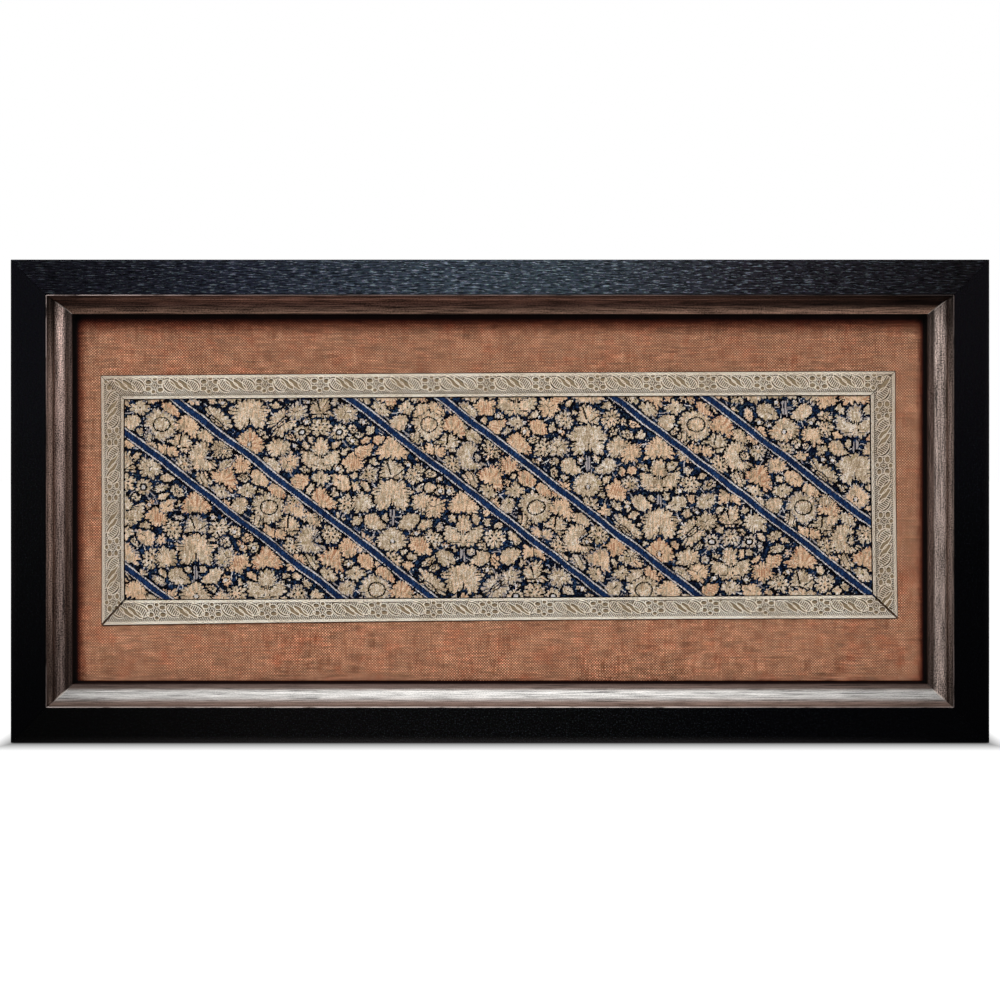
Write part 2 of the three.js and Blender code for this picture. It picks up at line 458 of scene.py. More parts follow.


# across a slip: 0 beside the black rail, 1 at the sight edge; along it: 0 at the left or upper end. Besides
# the leaf's own bronze and rubbed silver, the tones hold painted light: lines across each slip, the gains
# along it, the pale bottom and the dark top with a painted shadow on its lip
leafForm = {
    "top": {
        "bare": [(0.0, (60, 48, 46)), (0.16, (95, 68, 59)), (0.22, (124, 93, 82)), (0.27, (92, 64, 54)),
                 (0.34, (82, 56, 47)), (0.52, (78, 55, 48)), (0.62, (60, 40, 33)), (0.71, (62, 42, 35)),
                 (0.77, (73, 52, 45)), (0.85, (56, 38, 33)), (0.93, (48, 33, 28)), (0.955, (10, 5, 4))],
        "bareLightAlong": [(0.05, 0.35), (0.16, 0.85), (0.24, 1.05), (0.45, 0.98), (0.65, 0.78), (0.75, 0.42),
                      (0.84, 0.24), (0.93, 0.08)],
        "leaf": srgb(120, 94, 80), "amount": [(0.5, 0.0), (1.0, 1.0)],
        "leafLightAlong": [(0.5, 1.0), (1.0, 2.0)],
        "rimAlong": [(0.04, 1.0), (0.12, 0.9), (0.22, 0.35), (0.6, 0.30), (0.75, 0.08)],
        "streaks": 2.2, "grain": 1.8,
    },
    "right": {
        "bare": [(0.0, (48, 40, 36)), (0.12, (124, 109, 102)), (0.21, (76, 58, 50)), (0.28, (76, 60, 52)),
                 (0.77, (65, 50, 44)), (0.90, (73, 57, 51)), (1.0, (46, 33, 29))],
        "bareLightAlong": [(0.10, 0.18), (0.15, 0.35), (0.20, 0.7), (0.26, 0.95), (0.5, 1.05), (0.67, 1.05),
                      (0.75, 0.75), (0.88, 0.32)],
        "leaf": srgb(149, 134, 127), "amount": [(0.22, 0.0), (0.34, 1.0), (0.64, 0.96), (0.75, 0.05)],
        "leafLightAlong": [(0.10, 0.7), (0.145, 1.2), (0.20, 1.2), (0.26, 0.95), (0.5, 1.05), (0.67, 0.87),
                      (0.9, 1.0)],
        "rimAlong": [(0.10, 0.3), (0.3, 0.05), (0.75, 0.05), (0.84, 0.4)],
        "streaks": 1.5, "grain": 2.3,
    },
    "bottom": {
        "bare": [(0.0, (112, 98, 94)), (0.07, (130, 114, 106)), (0.085, (106, 87, 78)),
                 (0.12, (132, 111, 101)), (0.24, (140, 122, 114)), (0.76, (110, 94, 86)),
                 (0.93, (92, 77, 71)), (0.98, (84, 69, 64)), (1.0, (36, 18, 14))],
        "bareLightAlong": [(0.07, 0.6), (0.16, 0.85), (0.35, 1.0), (0.66, 1.0), (0.84, 0.85), (0.93, 0.6)],
        "leaf": srgb(208, 206, 203),
        "amount": [(0.20, 0.0), (0.26, 0.25), (0.36, 0.88), (0.43, 1.0), (0.62, 0.97), (0.66, 0.85),
                   (0.75, 0.2), (0.81, 0.0)],
        "leafLightAlong": [(0.05, 0.5), (0.08, 0.72), (0.24, 0.96), (0.45, 1.12), (0.65, 1.05), (0.76, 0.95),
                      (0.84, 0.78), (0.93, 0.64)],
        "rimAlong": [(0.05, 0.5), (0.16, 0.45), (0.25, 0.95), (0.65, 0.9), (0.76, 0.4), (0.9, 0.15)],
        "streaks": 0.9, "grain": 0.45,
    },
    "left": {
        "bare": [(0.0, (54, 42, 40)), (0.09, (112, 93, 85)), (0.13, (145, 124, 114)),
                 (0.24, (62, 43, 35)), (0.30, (78, 58, 51)), (0.81, (48, 33, 26)), (0.90, (66, 52, 45)),
                 (1.0, (76, 61, 58))],
        "bareLightAlong": [(0.10, 0.10), (0.20, 0.6), (0.26, 1.12), (0.33, 1.0), (0.58, 1.0), (0.75, 0.62),
                      (0.82, 0.34)],
        "leaf": srgb(143, 124, 117), "amount": [(0.26, 0.0), (0.45, 1.0), (0.56, 1.0), (0.72, 0.05)],
        "leafLightAlong": [(0.10, 1.5), (0.145, 1.95), (0.26, 1.45), (0.42, 1.0), (0.58, 0.68), (0.75, 0.52),
                      (0.85, 0.4)],
        "rimAlong": [(0.10, 0.95), (0.22, 0.6), (0.32, 0.05), (0.78, 0.0), (0.88, 0.3)],
        "streaks": 1.4, "grain": 2.3,
    },
}


# where the pale gesso shows along the arris, in mm across the slip from the outer edge, and its tone
gessoForm = {"bottom": (28.4, 28.1, srgb(236, 222, 216)), "others": (28.1, 27.9, srgb(190, 172, 168))}


def bronzeLeaf(side):
    finish = leafForm[side]
    rimStart, rimEnd, gesso = gessoForm["bottom" if side == "bottom" else "others"]
    material, tree, shader = newMaterial(f"bronzeLeaf_{side}", 0.45, 0.1, 0.05)
    run = runVector(tree)
    split = axes(run)
    stretched = feed(tree, "ShaderNodeMapping", (("Scale", (0.04, 1.0, 0.0)), ("Vector", run))).outputs[0]
    brush = useGroup(streaks, stretched, Fineness=820.0, Depth=1.0)
    speckle = maskBetween(noiseAt(run, 1200, 2, 0.8, (0.8, 1, 0)), 0.34, 0.66)
    along = alongSide(side, split["X"])
    ragged = plus(split["Z"], times(minus(noiseAt(run, 260, 4, 0.65, (0.25, 1, 0)), 0.5), 0.0012))
    edges = [slipForm["outer"] * mm, slipForm["sight"][side] * mm]
    plain = maskBetween(split["Z"], *edges)

    # painted light along each side, lighter or darker towards its ends
    def lightAlong(stops):
        return times(ramp(along, [(p, grey(level / 2)) for p, level in stops]), 2.0)

    bare = tinted(ramp(plain, finish["bare"]), lightAlong(finish["bareLightAlong"]))
    leaf = tinted(finish["leaf"], lightAlong(finish["leafLightAlong"]))
    amount = ramp(maskBetween(ragged, *edges), [(p, grey(level)) for p, level in finish["amount"]])
    colour = blend(amount, bare, leaf)
    # fine speckle and long streaks, as the leaf is rubbed along the moulding
    level = plus(times(brush["Lines"], finish["streaks"]), times(speckle, finish["grain"]))
    level = mathNode("MAXIMUM", plus(level, 0.96 - (finish["streaks"] + finish["grain"]) / 2), 0.12)
    # hair cracks open along the grain, here and there
    cracks = times(maskBetween(noiseAt(run, 800, 3, 0.6, (0.02, 1, 0)), 0.57, 0.64),
                   maskBetween(noiseAt(run, 22, 3, 0.6, (1, 1, 0)), 0.48, 0.56))
    level = times(level, minus(1.0, times(cracks, 0.65)))
    colour = tinted(colour, level)
    # a painted highlight along the line where the leaf meets the mitre
    mitre = minus(minus(sides[side][0] / 2 * mm, split["Z"]), mathNode("ABSOLUTE", split["X"]))
    colour = blend(times(times(amount, 0.6), maskBetween(mitre, 0.0012, 0.0004)), colour,
                   srgb(240, 228, 218))
    # the arris beside the black is rubbed through to pale gesso, in a broken line
    rim = maskBetween(split["Z"], rimStart * mm, rimEnd * mm)
    chips = maskBetween(noiseAt(run, 300, 5, 0.7, (0.22, 1, 1)), 0.36, 0.50)
    shown = ramp(along, [(p, grey(level)) for p, level in finish["rimAlong"]])
    colour = blend(times(rim, times(chips, shown)), colour, gesso)
    join(plus(0.38, times(brush["Lines"], 0.15)), shader.inputs["Roughness"])
    finishWith(shader, colour, plus(brush["Lines"], speckle), 0.25, 0.0002)
    return material


for number, side in enumerate(sides):
    for kind, profile, form, slotName in (("rail", railProfile(), railForm, "black_stain"),
                                          ("slip", slipProfile(side), slipForm, "bronze_leaf")):
        seed = 50 * number + len(kind) + len(profile)
        mesh = mouldingMesh(f"{kind}_{side}_finish", profile, side, form, seed)
        faceOutward(mesh, splitCaps=True)
        smoothShade(mesh, 40)
        moulding = newPiece(f"{kind}_{side}_finish", mesh)
        mesh.materials.append(blackStain(side) if kind == "rail" else bronzeLeaf(side))
        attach(moulding, "root")
        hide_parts(f"{kind}_{side}")
print("rails and slips ready")


# ---------- what closes the back, and the dark strips behind the slip

def darkFillet():
    material, tree, shader = newMaterial("darkFillet", 0.7, 0.0, 0.1)
    place = objectVector(tree)
    spots = noiseAt(place, 300, 5, 0.6)
    colour = ramp(spots, [(0.3, (5, 4, 4)), (0.7, (16, 13, 12))])
    finishWith(shader, colour, spots, 0.3, 0.0003)
    return material


def greyBoard():
    material, tree, shader = newMaterial("greyBoard", 0.9, 0.0, 0.15)
    place = objectVector(tree)
    fibres = noiseAt(place, 420, 6, 0.7, (0.5, 1, 1.0))
    clouds = noiseAt(place, 14, 3, 0.5)
    colour = ramp(fibres, [(0.25, (112, 94, 72)), (0.55, (146, 125, 98)), (0.8, (172, 152, 124))])
    colour = blend(times(clouds, 0.35), colour, srgb(104, 84, 62))
    finishWith(shader, colour, fibres, 0.5, 0.0003)
    return material


def wearMaterial(node, material):
    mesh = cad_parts[node].data
    mesh.materials.clear()
    mesh.materials.append(material)


filletFinish = darkFillet()
for side in sides:
    wearMaterial(f"fillet_{side}", filletFinish)
wearMaterial("mount_board", greyBoard())


# ---------- terracotta linen behind everything

# painted shadow under the mouldings: along X or Z, where the cloth is unshaded and where it is black
linenForm = {
    "cellsAcross": 150, "cellsUp": 70, "rise": 0.15, "undulation": 0.12, "threads": 900.0,
    "paintedShadow": (("Z", 131.0, 144.6), ("X", -331.0, -339.2), ("X", 333.8, 339.2), ("Z", -145.2, -146.2)),
    "shadowTones": [(0.0, (255, 255, 255)), (0.5, (190, 166, 158)), (0.8, (126, 88, 80)), (1.0, (34, 14, 12))],
}


def swell(x, z):
    # how stretched cloth lies a little uneven, in mm
    broad, middling = np.sin(x / 37.0 + 1.3) * np.cos(z / 23.0), np.sin(x / 17.0 + z / 29.0 + 0.4)
    return broad + 0.6 * middling + 0.4 * np.cos(x / 61.0 - z / 11.0)


def slabMesh(name, grid, front, back):
    # grid is rows x columns x (x, z) in mm; front and back are arrays of depth behind the front face
    rows, columns = grid.shape[:2]
    top = np.dstack((grid[..., 0], front, grid[..., 1])).reshape(-1, 3)
    under = np.dstack((grid[..., 0], back, grid[..., 1])).reshape(-1, 3)
    points = np.concatenate((top, under)) * mm
    points[:, 1] += frontY
    index = np.arange(rows * columns).reshape(rows, columns)
    quads = np.stack((index[:-1, :-1], index[:-1, 1:], index[1:, 1:], index[1:, :-1]), -1).reshape(-1, 4)
    shift = rows * columns
    rim = np.concatenate((index[0, :], index[1:, -1], index[-1, -2::-1], index[-2:0:-1, 0]))
    ahead = np.roll(rim, -1)
    walls = np.stack((rim, rim + shift, ahead + shift, ahead), -1)
    faces = np.concatenate((quads, quads[:, ::-1] + shift, walls))
    mesh = newMesh(name, points, faces.tolist())
    faceOutward(mesh)
    return mesh


def clothPiece(name, grid, box, front, finish):
    # stretched cloth: its front as given, its back flat where the CAD puts it
    low, high = box
    mesh = slabMesh(name, grid, front, np.full_like(front, (high[1] - frontY) / mm))
    smoothShade(mesh, 40)
    flatMap(mesh, (low[0], low[2]), high[0] - low[0])
    mesh.materials.append(finish)
    return newPiece(name, mesh)


def terracottaLinen():
    finish = {"warpDark": srgb(170, 110, 80), "warpLight": srgb(255, 198, 160),
              "weftDark": srgb(66, 26, 11), "weftLight": srgb(142, 82, 55), "gap": srgb(24, 8, 3)}
    material, tree, shader = newMaterial("terracottaLinen", 0.9, 0.0, 0.1, 0.05)
    place = objectVector(tree)
    # the threads wander a little, so the weave is never quite straight
    drift = feed(tree, "ShaderNodeTexNoise", (("Scale", 60), ("Vector", place))).outputs["Color"]
    pairs = ((0, drift), (1, (0.0012, 0.0, 0.0012)), (2, place))
    sway = feed(tree, "ShaderNodeVectorMath", pairs, operation="MULTIPLY_ADD").outputs[0]
    weave = useGroup(plainWeave, sway, Threads=linenForm["threads"])
    weftSlub = noiseAt(sway, linenForm["threads"] * 0.9, 2.5, 0.6, (0.07, 0.0, 1.0))
    warpSlub = noiseAt(sway, linenForm["threads"] * 0.9, 2.5, 0.6, (1.0, 0.0, 0.07))
    crossing = times(minus(weave["Crossing"], 0.5), 0.5)
    warp, weft = (ramp(plus(maskBetween(slub, 0.30, 0.70), crossing),
                       [(0.0, finish[dark]), (1.0, finish[light])]) for slub, dark,
                  light in ((warpSlub, "warpDark", "warpLight"), (weftSlub, "weftDark", "weftLight")))
    colour = blend(weave["Over"], warp, weft)
    gaps = maskBetween(weave["Gaps"], 0.0, 0.42)
    colour = blend(times(minus(1.0, gaps), 0.8), colour, finish["gap"])
    clouds = plus(noiseAt(place, 85, 3, 0.6), noiseAt(place, 420, 3, 0.7, (0.3, 1, 1)))
    colour = tinted(colour, plus(0.25, times(clouds, 0.75)))
    # coarse weft yarns stand out as dashes, and the dye took unevenly
    coarse = maskBetween(noiseAt(sway, 620, 2, 0.6, (0.09, 1, 1)), 0.36, 0.66)
    colour = tinted(colour, plus(0.66, times(coarse, 0.72)))
    uneven = noiseAt(place, 48, 4, 0.75)
    colour = blend(times(maskBetween(uneven, 0.52, 0.72), 0.6), colour,
                   tinted(colour, srgb(255, 196, 176)))
    colour = blend(times(maskBetween(uneven, 0.48, 0.30), 0.6), colour,
                   tinted(colour, srgb(236, 244, 240)))
    split = axes(place)
    # the cloth is a little darker towards the top and lighter towards the bottom
    colour = tinted(colour, minus(1.0, times(split["Z"], 0.9)))
    fading = noiseAt(place, 9, 2, 0.5)
    colour = blend(times(maskBetween(fading, 0.35, 0.7), 0.14), colour, srgb(190, 140, 110))
    # a painted shadow darkens the recess under the mouldings, deepest at the top
    for label, unshaded, black in linenForm["paintedShadow"]:
        inShadow = maskBetween(split[label], unshaded * mm, black * mm)
        colour = tinted(colour, ramp(inShadow, linenForm["shadowTones"]))
    relief = plus(weave["Height"], times(weftSlub, 0.8))
    finishWith(shader, colour, relief, 0.35, 0.0004)
    return material


linenLow, linenHigh = boxOf("linen")
columns, rows = linenForm["cellsAcross"] + 1, linenForm["cellsUp"] + 1
gridX, gridZ = np.meshgrid(np.linspace(linenLow[0], linenHigh[0], columns) / mm,
                           np.linspace(linenLow[2], linenHigh[2], rows) / mm)
linenDepth = (linenLow[1] - frontY) / mm
front = linenDepth + linenForm["rise"] + linenForm["undulation"] * 0.5 * swell(gridX, gridZ)
linenGrid = np.dstack((gridX, gridZ))
linen = clothPiece("linen_cloth", linenGrid, (linenLow, linenHigh), front, terracottaLinen())
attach(linen, "root")
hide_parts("linen")
print("linen ready")


# ---------- where the braid runs, which also bounds the needlework

# each corner: its outer point, its inner point and the gap of its slit; each length: its corners and bows
braidForm = {
    "width": 20.0, "lap": 4.0, "repeat": 44.3, "gimp": 0.34,
    "corners": {
        "topLeft": ((-320.0, 99.0), (-300.2, 79.4), 0.2), "topRight": ((317.0, 102.6), (295.8, 82.6), 0.2),
        "bottomRight": ((319.0, -96.0), (297.8, -76.4), 0.5),
        "bottomLeft": ((-319.4, -101.6), (-300.0, -80.4), 0.5),
    },
    "lengths": {
        "top": ("topLeft", "topRight", 0.4, 0.5), "right": ("topRight", "bottomRight", -0.5, -0.3),
        "bottom": ("bottomRight", "bottomLeft", -1.2, 0.4), "left": ("bottomLeft", "topLeft", -0.4, 0.3),
    },
}


def braidPoint(side, along, across, closed=False):
    # along from 0 to 1 between the ends, across from 0 at the outer edge to 1 at the inner edge
    startName, endName, outerBow, innerBow = braidForm["lengths"][side]
    along, across = np.asarray(along, float), np.asarray(across, float)
    edges = []
    for which, bow in ((0, outerBow), (1, innerBow)):
        first = np.array(braidForm["corners"][startName][which])
        last = np.array(braidForm["corners"][endName][which])
        direction = (last - first) / np.linalg.norm(last - first)
        outward = np.array((-direction[1], direction[0]))
        if not closed:
            first = first + direction * braidForm["corners"][startName][2]
            last = last - direction * braidForm["corners"][endName][2]
        edge = first + (last - first) * along[..., None]
        edges.append(edge + outward * (4 * bow * along * (1 - along))[..., None])
    return edges[0] + (edges[1] - edges[0]) * across[..., None]


needleworkForm = {"cellsAcross": 150, "cellsUp": 44, "pitch": 0.68, "rise": 0.12, "swell": 0.10}
clothLow, clothHigh = boxOf("needlework")
clothDepth = (clothLow[1] - frontY) / mm
hem = 1 - braidForm["lap"] / (braidForm["corners"]["topLeft"][0][1] - braidForm["corners"]["topLeft"][1][1])


def clothGrid(columns, rows):
    # the needlework's four edges run just under the braid, and the cloth is filled in between them
    u, v = np.linspace(0, 1, columns), np.linspace(0, 1, rows)
    top, bottom = braidPoint("top", u, u * 0 + hem, True), braidPoint("bottom", 1 - u, u * 0 + hem, True)
    left, right = braidPoint("left", v, v * 0 + hem, True), braidPoint("right", 1 - v, v * 0 + hem, True)
    uu, vv = np.meshgrid(u, v)
    uu, vv = uu[..., None], vv[..., None]
    ruled = (1 - vv) * bottom[None] + vv * top[None] + (1 - uu) * left[:, None] + uu * right[:, None]
    below = (1 - vv) * ((1 - uu) * bottom[0] + uu * bottom[-1])
    return ruled - below - vv * ((1 - uu) * top[0] + uu * top[-1])


def clothFront(x, z):
    return clothDepth + needleworkForm["rise"] + needleworkForm["swell"] * swell(x, z) * 0.5


def tentShade(tree, place):
    # the relief of the tent stitches, and a shade that differs from stitch to stitch
    tent = useGroup(tentRows, place, Count=1 / (needleworkForm["pitch"] * mm))
    shade = feed(tree, "ShaderNodeSeparateColor", ((0, tent["Stitch"]),)).outputs[0]
    return tent["Height"], shade


def navyGround():
    finish = {"deep": srgb(2, 4, 9), "navy": srgb(7, 12, 26), "bright": srgb(24, 36, 62),
              "dyed": srgb(16, 36, 72), "dyedBright": srgb(52, 86, 132)}
    material, tree, shader = newMaterial("navyGround", 0.8, 0.0, 0.02)
    place = objectVector(tree)
    tent, shade = tentShade(tree, place)
    colour = ramp(shade, [(0.0, finish["deep"]), (0.55, finish["navy"]), (1.0, finish["bright"])])
    # another dye lot of the wool shows as bluer stitches between the flowers
    bluer = maskBetween(noiseAt(place, 230, 4, 0.75), 0.50, 0.60)
    colour = blend(times(bluer, 0.75), colour,
                   ramp(shade, [(0.2, finish["dyed"]), (1.0, finish["dyedBright"])]))
    finishWith(shader, colour, tent, 0.8, 0.0003)
    return material


grid = clothGrid(needleworkForm["cellsAcross"] + 1, needleworkForm["cellsUp"] + 1)
front = clothFront(grid[..., 0], grid[..., 1])
ground = clothPiece("needlework_cloth", grid, (clothLow, clothHigh), front, navyGround())
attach(ground, "root")
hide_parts("needlework")
print("needlework ground ready")


# ---------- the embroidery: forms and layout, worked out stitch by stitch on a counted chart

# the slanted stripes and bands: sizes run sideways, and everything falls by the same slope
layoutForm = {
    "fall": 0.77, "repeat": 214.0, "narrow": 74.0, "middle": 20.5, "bands": range(-2, 3), "reach": 110.0,
    "unit": 86.0, "units": range(-2, 2), "stand": 57.0, "stands": range(-3, 4), "top": 51.0, "gap": 0.6,
    "plump": 1.15,
}
# width and height of each kind of form
formSizes = {
    "palm": (23, 16), "crown": (28, 23), "leaf": (16, 10), "stem": (6.5, 10.5), "trefoil": (15, 9),
    "bloom": (17, 14), "dots": (14, 12), "book": (21, 16), "tiny": (7, 6), "maple": (25, 21),
    "quad": (11.5, 10), "ringlet": (11, 10), "bow": (16, 10), "lotus": (17, 14), "onion": (22, 17),
    "star": (17, 16), "pod": (9, 13), "bird": (24, 26), "ring": (23.5, 22.5),
}
# lanes of the narrow bands: height over the middle, then form, thread and turn along one repeat
narrowLanes = [
    (13.5, [("leaf", "p", -38), ("palm", "p", -20), ("leaf", "s", -38), ("dots", "s", -20),
            ("bloom", "p", 0), ("leaf", "p", -40)]),
    (0.0, [("ring", "s", 0), ("lotus", "s", -30), ("bird", "s", 0), ("palm", "p", -35), ("quad", "s", 0)]),
    (-13.5, [("pod", "s", 80), ("bow", "p", 0), ("dots", "s", -38), ("pod", "s", -60), ("quad", "s", -30),
             ("leaf", "s", 40)]),
]
# plants that stand in the wide bands, from the top down: the form on the stem, then the pair beside it
standingPlants = [
    [("palm", "p", ("bloom", "p", 10)), ("crown", "s", ("dots", "s", 0)),
     ("stem", "i", ("leaf", "s", -28)), ("maple", "s", ("book", "s", -40)),
     ("onion", "p", ("bloom", "s", 0)), ("trefoil", "p", ("leaf", "s", 35))],
    [("bow", "p", ("leaf", "s", 30)), ("star", "s", ("bloom", "s", 8)),
     ("dots", "s", ("ringlet", "s", 0)), ("crown", "s", ("bloom", "p", 0)),
     ("quad", "s", ("leaf", "p", 35)), ("palm", "p", ("dots", "s", -38)),
     ("trefoil", "s", ("tiny", "s", 0))],
    [("palm", "p", ("leaf", "p", 40)), ("lotus", "s", ("dots", "s", -38)),
     ("maple", "s", ("bloom", "s", 5)), ("stem", "i", ("leaf", "s", -28)),
     ("onion", "s", ("bloom", "p", 20)), ("dots", "s", ("tiny", "p", 0))],
]


def within(value, half):
    return np.abs(value) < half


def oval(u, v, w, h):
    return np.hypot(u / (w / 2), v / (h / 2))


def petals(u, v, w, h, count, depth, sharp=1.0, turn=0.0):
    # distance outside (plus) or inside (minus) a round form with that many petals
    around = np.arctan2(v / h, u / w) + turn
    return (oval(u, v, w, h) - 1 + depth * (1 - np.abs(np.cos(around * count / 2)) ** sharp)) * min(w,
            h) / 2


def pointed(u, v, w, h, count, depth, turn=0.0):
    # the same with pointed lobes, one of them upright
    around = np.arctan2(v / h, u / w) - math.pi / 2 + turn
    edge = oval(u, v, w, h) - 1 + depth * np.abs(np.sin(around * count / 2))
    return edge * min(w, h) / 2


def blade(u, v, w, h):
    # a leaf that is pointed at both ends
    along = np.clip(np.abs(u) / (w / 2), 0, 1)
    return np.maximum(np.abs(v) - h / 2 * (1 - along ** 1.7), np.abs(u) - w / 2) * 0.9


def bloomForm(u, v, w, h, chance):
    reach, around = oval(u, v, w, h), np.arctan2(v, u)
    edge = pointed(u, v, w * 1.14, h * 1.14, 5 + int(chance * 3), 0.30, (chance - 0.5) * 0.6)
    nicks = within(np.sin(around * 4.5 + chance * 6), 0.16) & (reach > 0.62) & (chance > 0.4)
    veins = (np.abs(np.sin(around * 1.5 + chance * 3)) * reach * w / 2 < 0.4) & (reach < 0.45) & (chance
            > 0.7)
    return edge, [((reach < 0.55) & (np.sin(u * 3.3 + chance * 9) > -0.2), "glow"),
                  (nicks | veins, "black")]


def dotsForm(u, v, w, h, chance):
    reach, around, small = oval(u, v, w, h), np.arctan2(v, u) + chance * 6, min(w, h)
    sector = around / 1.047
    onRay = np.abs(sector - np.round(sector)) * 1.047 * reach * small / 2
    between = np.abs(sector - np.floor(sector) - 0.5) * 1.047 * reach * small / 2
    seeds = (onRay < 0.55) & (reach > 0.28) & (reach < 0.56)
    outer = (between < 0.45) & (reach > 0.60) & (reach < 0.84) & (small > 10)
    return petals(u, v, w, h, 6, 0.20, 0.8, chance * 6), [(seeds | outer, "black"), (reach < 0.15, "peach")]


def ringForm(u, v, w, h, chance):
    inner = petals(u, v, w * 0.52, h * 0.46, 8, 0.05)
    ticks = within(np.sin(np.arctan2(v, u) * 4), 0.22) & within(inner + 1.0, 0.8)
    return petals(u, v, w, h, 11, 0.11, 0.8, chance), [(within(inner, 0.5) | ticks, "black"),
                                                       ((inner < -1.6) & (np.sin(u * 3) > -0.3), "glow")]


def ringletForm(u, v, w, h, chance):
    eye = oval(u, v, w * 0.42, h * 0.42) - 1
    return petals(u, v, w, h, 7, 0.14), [(np.abs(eye) < 0.3, "black"), (eye < -0.35, "ivory")]


def palmForm(u, v, w, h, chance):
    # a fan with a flat foot, a broad shoulder and a peak
    rise = np.clip((v + h / 2) / h, 0, 1)
    half = np.where(rise < 0.22, 0.80 + 0.9 * rise, 1 - (np.maximum(rise - 0.22, 0) / 0.78) ** 1.2 * 0.92)
    lobes = 1 - 0.20 * (1 - np.abs(np.cos(rise * np.pi * 4.2)) ** 0.7)
    edge = np.maximum((np.abs(u) - half * lobes * w / 2) * 0.75, np.abs(v) - h / 2
                      + 0.3 * np.abs(np.sin(u * 1.3)))
    fan = np.arctan2(v + h * 0.5, u)
    rays = (np.sin(fan * 14 + chance * 5) > 0.35) & (np.hypot(u, v + h * 0.5) > h * 0.3)
    foot = within(v + h * 0.36, 0.34) & within(np.abs(u) - w * 0.40, w * 0.07)
    return edge, [(rays, "glow"), (foot, "black")]


def mapleForm(u, v, w, h, chance):
    edge = pointed(u, v - h * 0.08, w * 1.10, h * 1.04, 9, 0.24)
    for side in (-1, 1):
        low = pointed(u - side * w * 0.27, v + h * 0.30, w * 0.38, h * 0.42, 5, 0.2)
        wing = blade(*turnedBy(u - side * w * 0.38, v - h * 0.06, 18 * side), w * 0.42, h * 0.24)
        edge = np.minimum(edge, np.minimum(low, wing))
    edge = np.maximum(edge, w * 0.13 - np.hypot(u, (v + h * 0.48) * 0.85))
    level = h * (0.20 - 0.24 * (chance > 0.5))
    ticks = within(v - level, 0.42) & (np.abs(u) > w * 0.30) & within(u, w * 0.5)
    ticks |= within(v - level + 2.4, 0.40) & (np.abs(u) > w * 0.34) & within(u, w * 0.5)
    stalk = within(u, 0.45) & (v > -h * 0.32) & (v < -h * 0.12)
    return edge, [((np.sin(u * 2.9) > 0.5) & (v > -h * 0.1), "glow"), (ticks | stalk, "black")]


def turnedBy(u, v, degrees):
    c, s = math.cos(math.radians(degrees)), math.sin(math.radians(degrees))
    return u * c + v * s, v * c - u * s


def crownForm(u, v, w, h, chance):
    # a bud standing in a pair of toothed wings
    bud = np.minimum(pointed(u, v - h * 0.18, w * 0.42, h * 0.62, 8, 0.16),
                     blade(v - h * 0.28, u, h * 0.5, w * 0.22))
    away = np.abs(u) / (w / 2)
    roof = -h * 0.08 + h * 0.30 * away ** 1.2 - 0.9 * ((np.abs(u) * 0.42) % 1) * (away > 0.35)
    under = -h * 0.50 + h * 0.30 * away ** 2.4 + 0.4 * np.sin(u * 2.3)
    fringe = (away - 1) * w / 2 + 1.5 * ((v * 0.40 + 9) % 1)
    wings = np.maximum(np.maximum(v - roof, under - v), fringe)
    dash = within(np.abs(u) - w * 0.07, 0.5) & within(np.abs(v + h * 0.20) - h * 0.09, 0.75)
    dash &= wings < -0.5
    slot = within(np.abs(u) - 0.9, 0.4) & within(v + h * 0.06, h * 0.07)
    flat = within(v + h * 0.36, 0.4) & (away > 0.15) & (away < 0.5)
    seam = within(bud, 0.5) & (wings < 0.6) & (np.abs(u) > w * 0.06)
    return np.minimum(bud, wings), [((bud < -0.6) & (np.sin(u * 3.4) > -0.3), "glow"),
                                    (dash | slot | seam | flat, "black")]


def onionForm(u, v, w, h, chance):
    rise = np.clip((v + h / 2) / h, 0, 1)
    above = np.cos(np.clip((rise - 0.34) / 0.66, 0, 1) * np.pi / 2) ** 0.85
    below = np.sin(np.clip(rise / 0.34, 0.05, 1) * np.pi / 2) ** 0.55
    lobes = 1 - 0.15 * (1 - np.abs(np.cos(rise * np.pi * 5)) ** 0.7)
    edge = np.maximum((np.abs(u) - np.minimum(above, below) * lobes * w / 2) * 0.8, np.abs(v) - h / 2)
    eye = np.hypot(u, (v + h * 0.10) * 0.8)
    lashes = within(eye - 1.9, 0.45) & (np.sin(np.arctan2(v, u) * 5) > -0.5)
    dash = within(v + h * 0.10, 0.42) & (np.abs(u) > w * 0.34) & within(u, w * 0.5)
    rays = (np.sin(np.arctan2(v + h * 0.1, u) * 9) > 0.4) & (eye > 2.4)
    return edge, [(rays, "glow"), (lashes | dash, "black"), (eye <= 1.2, "ivory")]


def quadForm(u, v, w, h, chance):
    return petals(u, v, w * 1.1, h * 1.1, 4, 0.36, 1.2), [(np.hypot(u, v) < 0.8, "black")]


def leafletForm(u, v, w, h, chance):
    along = np.clip((u + w / 2) / w, 0, 1)
    half = h / 2 * np.sin(np.pi * along ** 0.8) ** 0.85
    edge = np.where(np.abs(u) < w / 2, (np.abs(v) - half) * 0.9 + 0.25 * np.sin(u * 2.6),
                    np.hypot(np.abs(u) - w / 2, v))
    rib = within(v, 0.36) & (u > 0) & (u < w * 0.25) & (chance > 0.7)
    return edge, [(within(v, h * 0.24) & (np.sin(u * 2.2 + v * 2) > 0.1), "glow"), (rib, "black")]


def bookForm(u, v, w, h, chance):
    # two blades laid open over a striped pod
    upper = petals(u, v - h * 0.27, w, h * 0.44, 2, 0.15)
    lower = petals(u + w * 0.05, v + h * 0.27, w * 0.9, h * 0.44, 2, 0.15)
    core = (oval(u, v, w * 0.62, h * 0.22) - 1) * h * 0.11
    lines = (within(v, 0.36) & within(u, w * 0.2)) | (within(core, 0.4) & within(u, w * 0.3))
    return np.minimum(np.minimum(upper, lower), core), [(lines, "black")]


